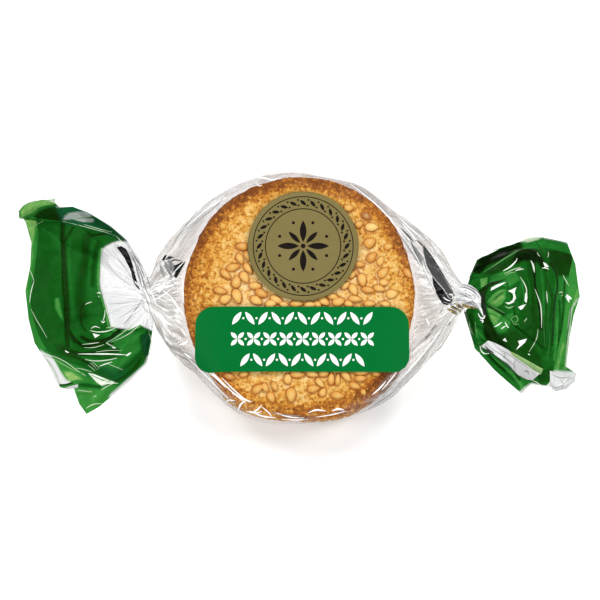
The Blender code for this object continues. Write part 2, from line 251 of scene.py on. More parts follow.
RIGHT_FAN_EDGE = in_mm((
    (44.4, 4.6), (46.5, 9.3), (52.3, 12.2), (57.5, 14), (63.3, 15.1), (70.1, 13.8), (72.4, 8.3),
    (73.5, -0.4), (71.7, -5.3), (70.3, -12.2), (69.5, -19.6), (72.2, -20.7), (71.7, -23.3), (68, -25.3),
    (62.8, -24.2), (60.1, -23.6), (58, -26), (51, -20), (45.6, -14.3), (43.9, -8.4),
))

# The fans' sheets: rings on the way out, columns for each point of the edge, how closely wrinkles
# lie along the edge and on the way out, and how far folds stand out
FAN_RINGS = 90
FAN_COLUMNS = 12
SHEET_PLEATS = 9.0
SHEET_RUN = 0.7
BACK_FOLDS = 0.4 * MM
FRONT_FOLDS = 0.45 * MM

# Display colours: the crust from its palest (0) to its darkest (1), the seeds the other way
CRUST_TONES = (
    (0, (255, 226, 166)), (0.2, (252, 204, 120)), (0.4, (240, 176, 74)), (0.6, (212, 138, 46)),
    (0.8, (168, 98, 34)), (1, (104, 54, 22)),
)
SEED_TONES = (
    (0, (170, 106, 56)), (0.3, (222, 152, 62)), (0.6, (238, 178, 84)), (0.85, (250, 202, 112)),
    (1, (255, 220, 142)),
)

# Display colours of the fans' green print, from its palest (0) to its darkest (1)
GREEN_TONES = (
    (0, (176, 208, 120)), (0.15, (101, 166, 82)), (0.3, (60, 145, 58)), (0.45, (36, 122, 44)),
    (0.6, (22, 98, 27)), (0.75, (18, 76, 15)), (0.9, (19, 54, 8)), (1, (9, 26, 4)),
)
TEAL_TONE = (18, 84, 50)
PALE_TONE = (236, 235, 237)

# Creases and gleams, from what mirrors the dark room (0) to what catches a light (1)
CREASE_TONES = (
    (0, (8, 9, 9)), (0.3, (112, 114, 114)), (0.6, (178, 180, 178)), (0.85, (232, 232, 230)),
    (1, (285, 285, 285)),
)
GLEAM_TONES = (
    (0, (8, 20, 5)), (0.2, (24, 66, 16)), (0.4, (58, 140, 58)), (0.6, (132, 184, 116)),
    (0.8, (208, 226, 196)), (1, (280, 285, 275)),
)

# Folds and gleams. A path is the column and the row of each of its points in turn, in pixels of
# the photograph. An area is tone, strength, softness and its outline; a line is tone, strength,
# half width and its path. WHITE and COOL marks give how pale or how bluish the film is, and
# CLEAR ones where it is unprinted. A GLEAM on the left fan is width and path, any other gleam or
# streak is width, tone and path, and a patch or shape is tone and outline. Gleams, streaks,
# patches and shapes are painted highlights, painted shade and painted dark reflections of the
# room, on thin strips laid over the film.
CURVE_STEPS = 8
STROKE_STEPS = 3
STRIP_LIFT = 0.14 * MM
STRIP_ARCH = 0.2
STRIP_FADE = 0.72
LINE_FIRMNESS = 1.6
FOLD_SPREAD = 1.3
GLEAM_WIDTH = 0.64

LEFT_CLEAR_AREAS = (
    (1, 1, 1, 102, 249, 101, 258, 100, 270, 99.5, 280, 100, 288, 103, 298, 107, 310, 111, 327, 118, 328,
     126, 329, 134, 327, 140, 325, 146, 328, 152, 331, 166, 330, 166, 252, 140, 252, 127, 241, 118, 241,
     112, 243, 106, 246),
)
LEFT_BACK_AREAS = (
    (0.38, 1, 0.8, 20, 218, 28, 230, 31, 240, 32, 250, 31, 258, 29, 268, 26, 280, 25, 290, 26, 303, 28,
     320, 33, 340, 41, 355, 46, 348, 38, 335, 33, 318, 30, 303, 31, 292, 34, 281, 35, 270, 37, 258, 38, 245,
     39, 232, 40, 222),
    (0.08, 0.9, 1.4, 20, 218, 37, 219, 35, 232, 33, 244, 31, 242, 28, 231),
    (0.1, 0.7, 1, 30, 240, 32.5, 240, 33.5, 255, 31, 268, 28, 282, 27, 296, 25, 290, 26, 280, 29, 268, 31,
     258, 32, 250),
    (0.6, 1, 1.5, 55, 206, 72, 204, 88, 211, 112, 226, 130, 242, 127, 246, 108, 234, 82, 227, 62, 222),
    (0.36, 1, 1.5, 44, 355, 60, 360, 80, 372, 104, 384, 118, 386, 128, 378, 146, 362, 150, 368, 112, 404,
     96, 412, 84, 414, 60, 396),
    (0.28, 0.8, 6, 70, 394, 104, 388, 120, 386, 112, 400, 86, 414),
    (0.28, 0.7, 4, 82, 402, 98, 400, 104, 404, 88, 413),
    # Painted shadow under the curled corner.
    (0.9, 0.95, 1.2, 34, 215, 42, 210, 50, 207, 56, 206.5, 60, 214, 63, 222, 38, 221),
    (0, 0.9, 1.2, 112, 233, 119, 236, 127, 243, 124, 244, 116, 240),
    (0.04, 0.9, 1.8, 63, 371, 72, 372, 84, 380, 78, 380, 68, 382),
    (0.9, 0.9, 2, 140, 336, 147, 331, 150, 345, 147, 360, 143, 354),
)
LEFT_BACK_LINES = (
    # Painted shadow: a dark line under the curled corner.
    (0.95, 0.9, 0.8, 20, 218, 30, 219, 45, 221, 62, 221.5),
    (0.8, 0.9, 2, 104, 384, 115, 382, 125, 377, 135, 368, 142, 359, 147, 349),
    # The second line here is a painted highlight: a row of small pale yellow-green glints.
    (0.72, 0.9, 2.2, 69, 384, 84, 385, 100, 387), (0.1, 0.8, 1.6, 66, 390, 76, 391, 92, 392),
    (0.12, 0.6, 2, 116, 394, 128, 385, 140, 374, 148, 364),
)
LEFT_FRONT_AREAS = (
    (0.56, 0.8, 2.5, 40, 224, 60, 224, 60, 250, 40, 250),
    (0.62, 0.8, 3, 72, 228, 82, 232, 80, 262, 76, 300, 78, 334, 72, 334, 69, 280),
    (0.52, 0.7, 4, 89, 240, 102, 246, 98, 290, 106, 322, 90, 322, 86, 280),
    # Painted highlight: a lighter green leaf-shaped glint.
    (0.26, 1, 0.9, 55, 298, 59, 298, 61, 308, 64, 322, 60, 317, 55, 308),
    (0.4, 0.9, 2, 78, 356, 108, 360, 118, 359, 112, 363, 96, 365, 88, 362),
    (0.38, 0.9, 4, 104, 334, 130, 332, 146, 332, 140, 350, 116, 374, 96, 366, 122, 356),
    (0.9, 0.9, 2.4, 140, 336, 148, 331, 150, 345, 147, 360, 143, 354),
    (0.85, 0.8, 3, 54, 345, 64, 344, 72, 350, 84, 356, 74, 358, 60, 354),
)
LEFT_FRONT_LINES = (
    (0.1, 0.8, 1.2, 101, 249, 98.5, 270, 98.5, 288, 105.5, 310, 110, 328.5, 126, 330.5, 140, 327),
    (0.24, 0.5, 1.6, 99, 252, 98.5, 270, 99, 290),
    (0.88, 1, 2.5, 63, 223, 63, 235, 64, 250, 65, 265, 66, 280, 67, 295, 68, 315, 68, 330, 68, 346),
    (0.95, 1, 1.1, 61.5, 224, 62, 250, 63, 280, 65, 310, 66, 340),
    (0.5, 0.6, 2, 69, 236, 69, 260, 71, 290, 73, 320), (0.92, 0.9, 1.2, 73, 227, 69, 234, 65, 241),
    (0.78, 1, 5, 89, 234, 86, 244, 85, 256, 83, 270, 80, 284, 80, 300, 82, 314),
    (0.78, 0.7, 3, 98, 243, 96, 252, 93, 268, 92, 284),
    (0.95, 0.9, 1.6, 90, 236, 100, 234.5, 112, 234, 118, 238),
    (0.88, 0.9, 1.4, 84, 303, 81, 309, 80.5, 316, 82, 324, 86, 331),
    (0.96, 1, 2, 70, 332, 76, 340, 84, 346, 94, 345, 104, 343),
    (0.96, 1, 2.2, 82, 337, 90, 341, 100, 341, 110, 338, 116, 333, 122, 328),
    (0.92, 1, 1.8, 66, 328, 70, 336, 76, 342), (0.9, 0.9, 1.4, 92, 348, 104, 347, 112, 343),
    (0.92, 0.9, 1.8, 72, 352, 84, 353.5, 100, 351, 118, 350),
    (0.88, 0.9, 1.6, 64, 350, 74, 356, 86, 361, 96, 367),
    (0.84, 0.8, 1.6, 104, 383, 115, 381, 126, 376, 136, 367, 142, 358),
)
LEFT_COOL_AREAS = (
    (1, 0.85, 3, 55, 206, 72, 204, 88, 211, 112, 226, 130, 242, 126, 244, 108, 234, 82, 227, 62, 222),
    (1, 0.5, 4, 96, 368, 112, 366, 128, 372, 116, 381),
    (1, 0.6, 2, 141, 336, 148, 332, 150, 345, 147, 358, 143, 352),
)
LEFT_FRONT_WHITES = (
    (1, 0.6, 2.4, 43, 354.5, 52, 357, 60, 361, 68, 366, 80, 370.5, 90, 373.5),
)
LEFT_BACK_WHITES = (
    (1, 0.85, 3.4, 149, 358, 146.5, 365, 138, 373, 129, 381, 119, 390, 112, 396),
    # A faint painted highlight along the top band.
    (1, 0.35, 1.2, 57, 207, 72, 204.5, 88, 211.5, 112, 227, 130, 243),
)
LEFT_BACK_WHITE_AREAS = (
    # The first two areas are a painted reflection, a pale leaf on the top band; the last is the unprinted
    # flap.
    (0.42, 1, 0.7, 63, 220, 65, 216, 69, 213, 79, 211.4, 89, 212.6, 92, 216, 83, 217.4, 73, 219),
    (0.5, 1, 0.6, 73, 219.6, 85, 217.8, 94, 218.6, 93, 222, 83, 222),
    (0.95, 1, 1, 40, 350, 50, 356, 56, 364, 61, 373, 66, 380, 74, 384, 74, 392, 56, 392, 44, 372),
)
LEFT_GLEAMS = (
    (0.4, 29, 230, 36, 225, 43, 221), (1, 30, 270, 32, 275, 34, 281), (1.3, 34, 281, 31, 292, 29.5, 303),
    (0.9, 31, 309, 36, 319, 42, 329, 47, 338),
    (1, 63, 221.5, 72, 223.5, 82, 226, 95, 229.5, 108, 233, 117, 237), (0.8, 84, 224.5, 96, 228, 112, 232),
    (1.2, 117, 237, 120, 240, 123, 244), (1, 42, 353, 52, 356, 62, 360, 70, 365, 78, 371, 86, 376),
    (0.9, 76, 368, 84, 369.5, 92, 372), (1.3, 85, 304.5, 88, 303, 92, 302),
    (1.4, 105, 310, 104.5, 316, 103, 321), (1.6, 101, 321, 103, 322.5, 105, 321),
    (1.6, 97, 293.5, 99, 292.5, 101, 294), (1.2, 98, 296, 99.5, 297), (1.4, 91, 328.5, 95, 326.5, 100, 328),
    (1.5, 90, 330.5, 98, 332, 108, 331, 116, 327.5), (0.9, 106, 328, 112, 327, 117, 326),
    (1.2, 82, 344.5, 92, 343.5, 99, 342.5), (1, 84, 347.5, 94, 347.5, 104, 344.5),
    (1.3, 106, 343, 110, 345, 115, 347.5), (1.8, 112, 347.5, 116, 348),
    (2, 78, 354, 90, 354, 106, 354, 120, 354.5, 128, 355), (2.6, 126, 356, 129, 354, 131, 352.5),
    (0.9, 96, 352, 108, 350.5, 122, 350.5), (1.4, 85, 359.5, 96, 361, 108, 360, 117, 358),
    (1.6, 99, 366.5, 104, 364.5, 112, 362), (0.7, 90, 363, 94, 366, 97, 370),
    (0.7, 92, 362, 96, 365, 99, 369), (0.7, 88, 365, 92, 368, 95, 371),
    (1.8, 65, 350.5, 67, 352, 69, 352.5), (1.2, 86, 408.5, 93, 404.5, 102, 403.5),
    (0.9, 78, 390, 84, 391, 92, 392), (1.1, 93, 397.5, 97, 395),
    (1.2, 101, 390, 106, 387, 113, 383.5, 118, 383), (0.8, 108, 364, 116, 367, 123, 370),
    (0.5, 70, 219.5, 80, 217.5, 90, 216.5), (1.1, 102, 248, 101, 258, 100.5, 270, 100, 284),
    (1.1, 103, 296, 106, 308, 111, 327),
    (1.3, 111, 342, 120, 338.5, 130, 333, 138, 326, 144, 319, 148, 311),
    (1, 106, 343, 118, 336, 130, 327, 139, 318), (0.9, 148, 330, 151, 340, 150.5, 350, 148, 360),
    (0.6, 53, 358, 60, 372, 66, 382),
)
LEFT_PATCHES = (
    (0.95, 92.5, 333, 95, 334, 100, 335, 95, 338),
    (0.9, 88, 373, 94, 374, 104, 378, 112, 381, 118, 383.5, 108, 384, 102, 386, 97, 383),
)
LEFT_STREAKS = (
    (1.2, 0.55, 44, 355, 54, 359, 64, 365, 74, 370, 84, 374), (0.8, 0.75, 46, 358, 54, 372, 60, 384),
    (0.8, 0.3, 90, 374, 100, 379, 112, 382.5), (0.8, 0.6, 94, 376, 104, 381, 110, 383),
)
LEFT_KNOT_STREAKS = (
    (1.6, 0.95, 109, 258, 112, 266, 118, 272, 126, 276), (2.6, 0.9, 112, 264, 118, 271, 126, 275),
    (1.2, 0.93, 108, 283, 120, 284, 134, 288, 144, 294),
    (1.6, 0.95, 104, 290, 120, 290, 134, 293, 144, 297), (1, 0.9, 104, 295, 122, 297, 142, 299),
    (1.2, 0.9, 122, 322, 132, 314, 144, 304), (1, 0.72, 120, 318, 132, 310, 145, 302),
    (1.1, 0.75, 108, 304, 124, 303, 144, 300), (1, 0.7, 106, 262, 118, 276, 136, 290),
    (1, 0.72, 112, 250, 122, 264, 136, 284), (1.2, 0.98, 128, 330, 138, 324, 147, 312),
    (2.2, 0.04, 131, 268, 133, 276, 134.5, 283), (1.8, 0.1, 134, 283, 137, 286, 140, 290),
    (2.4, 0.5, 131, 252, 136, 264, 139, 276, 142, 288), (1.8, 0.45, 136, 262, 140, 272, 144, 284, 147, 292),
    (1.2, 0.98, 130, 250, 136, 262, 140, 274, 143, 286), (1, 0.4, 128, 246, 138, 262, 145, 278),
    (1.4, 0.5, 147, 276, 149, 284, 151, 291), (1.6, 0.97, 143, 288, 148, 297, 152, 307),
    (1.1, 0.97, 148, 284, 153, 296, 157, 306), (1.2, 0.6, 146, 290, 150, 299, 152, 309),
    (0.9, 0.6, 140, 294, 147, 300, 150, 312), (1.2, 0.97, 140, 296, 146, 303, 149, 313),
    (1, 0.4, 142, 300, 134, 312, 124, 324),
)
# A black shape: a painted dark reflection in a fold of the film.
LEFT_KNOT_SHAPES = (
    (0, 116.6, 247.4, 121, 246, 126, 249, 129.5, 256, 132.5, 264, 135, 274, 137.5, 283, 135, 281, 130, 269,
     125, 259, 121, 253),
)

RIGHT_BACK_AREAS = (
    (0.58, 1, 3, 464, 292, 470, 276, 478, 262, 484, 288, 474, 300),
    (1, 0.95, 1.4, 474, 270, 479, 259, 486, 255, 498, 249, 512, 243, 521, 241, 523, 248, 515, 254, 505,
     262, 495, 266, 484, 274, 476, 274),
    (0.48, 1, 1.4, 522, 239, 545, 236, 572, 242, 574, 255, 545, 249, 523, 248),
    (0.32, 1, 1.6, 570, 250, 582, 258, 582, 300, 573, 312, 569, 350, 566, 372, 552, 371, 562, 330, 566,
     300, 568, 275),
    (0.52, 0.9, 3, 474, 338, 486, 350, 510, 370, 527, 382, 524, 394, 492, 366),
    (0.72, 1, 1.5, 532, 376, 550, 372, 552, 386, 542, 388, 534, 384),
)
RIGHT_BACK_LINES = (
    (0.3, 0.9, 2.4, 494, 358, 505, 367, 515, 376, 523, 388),
    (0.18, 0.7, 1.2, 505, 369, 513, 376, 519, 384, 522, 390),
    (0.88, 0.8, 1.6, 488, 354, 496, 363, 505, 371), (0.85, 0.8, 2.2, 500, 359, 512, 368, 519, 379),
    (0.1, 0.8, 1.8, 563, 345, 560, 356, 557, 371), (0.06, 0.8, 1.6, 569, 244, 574, 250, 575, 258),
    (0.06, 0.7, 1.6, 578, 290, 575, 300, 571, 312, 569, 330, 567, 350, 565, 368),
)
RIGHT_FRONT_AREAS = (
    (0.62, 1, 1.6, 480, 277, 500, 264, 523, 250, 530, 262, 520, 270, 505, 275, 490, 284),
    (1, 1, 1.4, 472, 272, 479, 259, 495, 253, 510, 248, 520, 247, 508, 256, 496, 262, 486, 267, 480, 274),
    (0.84, 0.9, 1.2, 484, 274, 502, 264, 521, 251, 518, 260, 506, 269, 494, 274),
    (1, 0.95, 1.6, 517, 249, 528, 248, 537, 250, 543, 258, 548, 270, 541, 268, 537, 262, 531, 262, 524,
     260, 518, 263, 511, 266),
    (0.84, 1, 1, 546, 250, 560, 251, 573, 255, 571, 268, 569, 276, 560, 275, 557, 275, 551, 264),
    (0.42, 0.9, 2, 556, 277, 569, 277, 572, 300, 565, 330, 556, 372, 552, 345, 555, 300),
    (0.12, 0.9, 0.9, 480, 279, 488, 277, 487, 285, 481, 289),
    (0.34, 0.9, 1.5, 490, 277, 504, 271, 516, 272, 520, 280, 508, 288, 500, 284, 490, 286),
    # Painted shadow: a near-black band down the side of the knot.
    (0.95, 0.9, 1, 479, 290, 487, 285, 497, 281.5, 506, 279, 498, 283, 489, 287, 486, 294, 485, 303, 488,
     316, 495, 330, 503, 341, 515, 350, 507, 349, 495, 343, 486, 340, 482, 322, 481, 305),
    (0.15, 0.95, 1, 487, 302, 492, 295, 499, 290, 506, 289, 506, 298, 502, 304, 497, 307, 492, 305),
    (0.14, 0.95, 1, 487, 308, 494, 309, 502, 315, 498, 322, 494, 326, 490, 318),
    (0.3, 0.8, 1.8, 494, 326, 503, 316, 514, 312, 516, 322, 505, 332, 498, 334),
    (0.5, 0.7, 3, 506, 290, 524, 284, 525, 300, 518, 312, 506, 310),
    (0.72, 0.9, 2.4, 520, 300, 528, 270, 536, 300, 540, 330, 532, 345, 520, 340),
    (0.78, 0.95, 3, 498, 336, 516, 330, 532, 340, 541, 356, 544, 372, 528, 364, 510, 352),
    (0.72, 0.8, 1.4, 539, 300, 545, 320, 546, 355, 541, 358, 539, 335),
    (0.56, 0.8, 1.6, 543, 276, 549, 280, 550, 300, 549, 330, 545, 345, 543, 310),
    (0.78, 1, 1.4, 535, 372, 552, 368, 551, 380, 540, 384),
    (0.4, 0.9, 1.2, 475, 326, 482, 330, 484, 339, 475, 338),
    (0.78, 0.9, 1.4, 463, 308, 474, 310, 475, 338, 469, 334),
    (0.3, 0.9, 1.2, 470, 340, 480, 342, 480, 348, 473, 344),
)
RIGHT_FRONT_LINES = (
    (0.99, 1, 1.8, 533, 252, 534, 270, 535, 285, 538, 298, 540, 312, 541, 328),
    (0.8, 0.8, 3, 530, 262, 531, 280, 533, 300, 536, 320, 536, 340),
    (0.92, 1, 1.2, 549, 262, 554, 270, 557, 278, 557, 290, 555, 298, 554, 310, 552, 345),
    (0.82, 0.9, 1, 565, 274, 564, 290, 563, 310, 560, 340, 557, 362),
    (0.28, 0.8, 1.6, 568, 280, 567.5, 300, 564, 330, 560, 360),
    (0.78, 0.8, 1.2, 544, 262, 546, 285, 546, 310, 545, 340), (0.4, 0.7, 1.2, 541, 270, 543, 290, 544, 315),
    (0.85, 0.8, 0.8, 506, 281, 512, 300, 514, 316, 508, 330), (0.3, 0.7, 1, 522, 282, 524, 296, 522, 310),
    (0.4, 0.7, 0.8, 490, 302, 496, 297, 504, 293), (0.38, 0.7, 0.8, 489, 313, 495, 315, 500, 318),
    (0.02, 0.7, 0.8, 493, 304, 499, 299, 503, 296), (0.02, 0.7, 0.7, 491, 316, 495, 320, 497, 323),
    (0.88, 0.9, 1.2, 488, 304, 496, 309, 505, 314), (0.6, 0.9, 1.4, 520, 269, 526, 276, 530, 288, 530, 304),
    (0.85, 0.7, 1.2, 559, 300, 560, 320, 558, 345), (0.82, 0.7, 1.6, 512, 322, 522, 330, 532, 326),
    (0.84, 0.7, 1.4, 547, 280, 550, 290, 552, 300, 550, 320),
    (0.25, 0.7, 1.2, 557, 320, 557, 340, 554, 360),
)
RIGHT_BACK_WHITES = (
    (1, 0.55, 2.2, 522, 241, 530, 238.5, 540, 237.5),
    (1, 0.35, 1.6, 545, 238, 560, 240.5, 570, 244, 574, 250),
    (1, 0.75, 3, 522, 392, 530, 386, 537, 384, 548, 389),
    (1, 0.5, 1.2, 581, 297, 575, 303, 570, 315, 568, 340, 566, 366),
)
RIGHT_BACK_WHITE_AREAS = (
    (0.9, 1, 1.5, 549, 371, 560, 371, 580, 372, 580, 384, 566, 392, 546, 388),
)
RIGHT_GLEAMS = (
    (0.8, 0.55, 484, 272, 495, 265, 507, 257, 521, 249),
    (0.7, 0.15, 482, 274.5, 495, 267, 508, 259, 520, 251),
    (1.5, 0.95, 503, 271, 510, 267, 516, 261, 517, 258), (1.1, 0.6, 505, 276, 510, 273, 516, 272),
    (1.6, 0.85, 515, 271, 519, 269.5, 524, 269), (1.2, 0.7, 504, 274, 512, 270, 521, 267),
    (1, 0.85, 520, 277, 524, 283, 526.5, 290, 526.5, 300), (0.6, 0.8, 537, 252.5, 538.5, 255, 540, 256.5),
    (0.7, 0.8, 548, 251.5, 548.5, 254, 548, 257.5), (1.2, 0.95, 542, 268, 546, 268, 549, 269.5),
    (1.1, 0.8, 546.5, 291, 547, 297, 547.5, 303), (0.9, 0.8, 563, 275, 566, 281, 569, 286),
    (0.9, 0.8, 559, 293, 561, 292, 563, 293), (0.8, 0.65, 561, 296, 563, 295),
    (0.9, 0.7, 505, 306, 509, 308, 514, 306), (0.8, 0.6, 512, 318, 516, 316, 518, 320, 515, 323),
    (0.9, 0.55, 511, 318, 514, 324, 519, 324), (0.8, 0.75, 524, 322, 526, 319.5, 527, 318),
    (1.2, 0.95, 494, 327, 498, 325, 502, 322), (1, 0.95, 505, 322, 507, 326, 509, 328),
    (1.2, 0.9, 501, 329, 504, 327, 506, 326), (1.6, 0.95, 530.8, 260.5, 533, 265, 534.5, 272.5),
    (1.1, 0.85, 535, 289, 538, 297, 540.5, 305, 541.5, 316, 541.5, 328),
    (0.9, 0.75, 538, 329, 537, 337, 534, 344, 529, 352), (1, 0.95, 528, 354, 530, 355),
    (0.7, 0.4, 491, 251.5, 503, 247.5, 515, 244), (0.7, 0.1, 535, 240, 539, 246, 542, 252, 547, 261),
    (0.7, 0.12, 551, 265, 556, 275, 558, 283, 556.5, 292, 554.5, 302, 553.5, 320, 552, 345),
    (0.6, 0.15, 565, 277, 564, 290, 561, 305), (0.6, 0.15, 571, 306, 569.5, 322, 566, 345),
    (0.6, 0.7, 573, 306, 571, 320, 569, 340, 566, 366), (0.6, 0.2, 547, 279, 549.5, 288, 552, 298),
    (0.7, 0.5, 487, 303.5, 496, 308.5, 505, 313.5), (0.7, 0.05, 487, 305.5, 495, 310.5, 504, 315.5),
    (0.7, 0.1, 494, 300, 500, 294, 505, 291), (0.6, 0.35, 550, 330, 549, 345, 547, 360),
    (0.6, 0.35, 543, 318, 544, 330, 545, 348), (0.6, 0.65, 469, 321, 470, 329, 473, 334),
    (0.6, 0.6, 475, 322, 476, 330, 477, 336), (1, 0.9, 471, 346, 475, 350, 480, 353.5),
    (1.2, 1, 480, 346, 481, 350, 484, 353.5, 489, 353.5),
    (0.9, 0.9, 531, 380, 536, 382, 542, 386, 548, 388), (0.8, 0.75, 523, 391, 527, 387, 532, 384),
)
RIGHT_PATCHES = (
    (1, 490.5, 291, 491.5, 287.5, 496, 285, 502, 283, 506.5, 282, 500, 286, 495, 288.5),
    (1, 508, 291, 512, 289.5, 516.5, 287, 515, 291, 514.5, 294, 512, 293),
    (0.95, 512.5, 293, 515, 294, 516, 298, 513.5, 302.5, 508.5, 304.5, 505, 302.5, 509.5, 302.5, 512.5,
     300, 513.5, 296.5),
    (0.95, 518, 307, 521.5, 305.5, 526, 304, 523, 308.5, 520.5, 310),
    (0.95, 525.3, 293, 527, 292, 527.4, 298, 526.5, 303, 524.5, 301),
    (1, 543, 262, 546.5, 264, 549, 267, 545, 267),
    (1, 565.5, 297, 567, 294, 570, 296.5, 572, 299, 569, 299.5, 569.5, 303, 567.5, 300),
    (1, 516, 350, 519.5, 344.5, 518, 341, 522, 340, 527, 338.5, 525, 342.5, 521, 346),
    (1, 502.5, 340, 505, 338, 507, 342, 504, 341),
    (0.8, 520, 241.5, 526, 238.5, 534, 237, 542, 237, 538, 240, 528, 242.5),
)
RIGHT_STREAKS = (
    (1.6, 0.1, 485, 346, 489, 350, 494, 353), (0.9, 0.05, 484.5, 350, 490, 352.5, 494, 354),
    (1.2, 0.62, 496, 347, 508, 354, 520, 362, 530, 369), (0.8, 0.5, 492, 349, 500, 354, 508, 360, 516, 367),
    (1.4, 0.66, 503, 350, 505, 355, 503, 360), (1.2, 0.62, 516, 359, 514, 365, 516, 371),
    (1.6, 0.5, 524, 372, 527, 371, 529, 374), (2, 0.72, 530, 370, 534, 373, 535, 378),
    (0.8, 0.15, 484, 348.5, 496, 356, 507, 364.5, 513, 371, 520, 377, 528, 380),
    (1, 0.55, 552, 374, 560, 378, 570, 377), (1, 0.6, 556, 388, 562, 385, 568, 380, 574, 377),
    (1.6, 0.7, 560, 380, 563, 384, 561, 389), (1, 1, 558, 386, 564, 383, 567, 379),
    (0.8, 0.7, 556, 373, 554, 380, 553, 388),
)
RIGHT_KNOT_STREAKS = (
    (2.8, 0.02, 482, 291, 483, 298, 484.5, 308, 485.5, 317), (1.5, 0.02, 482, 288, 490, 283.5, 503, 280.5),
    (1.5, 0.97, 478, 313, 480, 317, 483, 318.5, 485, 316, 485, 312),
    (1.2, 0.97, 480, 320, 483, 321, 482, 323), (1.2, 0.6, 443, 302, 452, 304, 462, 304),
    (1.2, 0.2, 462, 306, 466, 314, 468, 326), (1.2, 0.9, 464, 308, 466, 312),
    (0.7, 0.55, 462, 292, 468, 294, 476, 298), (1.2, 0.97, 459, 288, 468, 290, 477, 296),
    (1.3, 0.97, 457, 298, 466, 298, 477, 303), (0.7, 0.6, 458, 294, 466, 296, 474, 302),
    (0.8, 0.62, 462, 302, 470, 304, 477, 308), (1.1, 0.97, 466, 302, 472, 300, 479, 301),
    (0.7, 0.6, 464, 286, 466, 293, 464, 300), (0.7, 0.65, 471, 288, 469, 294, 473, 300),
    (0.6, 0.6, 457, 290, 462, 292, 466, 290), (1, 0.35, 459, 287, 466, 288, 474, 292, 479, 298),
    (0.9, 0.4, 456, 292, 464, 295, 472, 301, 478, 307),
    (0.8, 0.25, 462, 284.5, 470, 287, 478, 292, 482, 299),
    (1, 0.45, 458, 300, 466, 301, 474, 305, 480, 311), (1.4, 0.98, 460, 291, 468, 293, 476, 299),
    (2.4, 0.92, 475, 300, 480, 308, 483.5, 317), (0.8, 0.05, 450, 304.5, 457, 308.4, 462, 310.4),
    (0.8, 0.1, 447, 307.8, 454, 310.6, 460, 313.8),
)

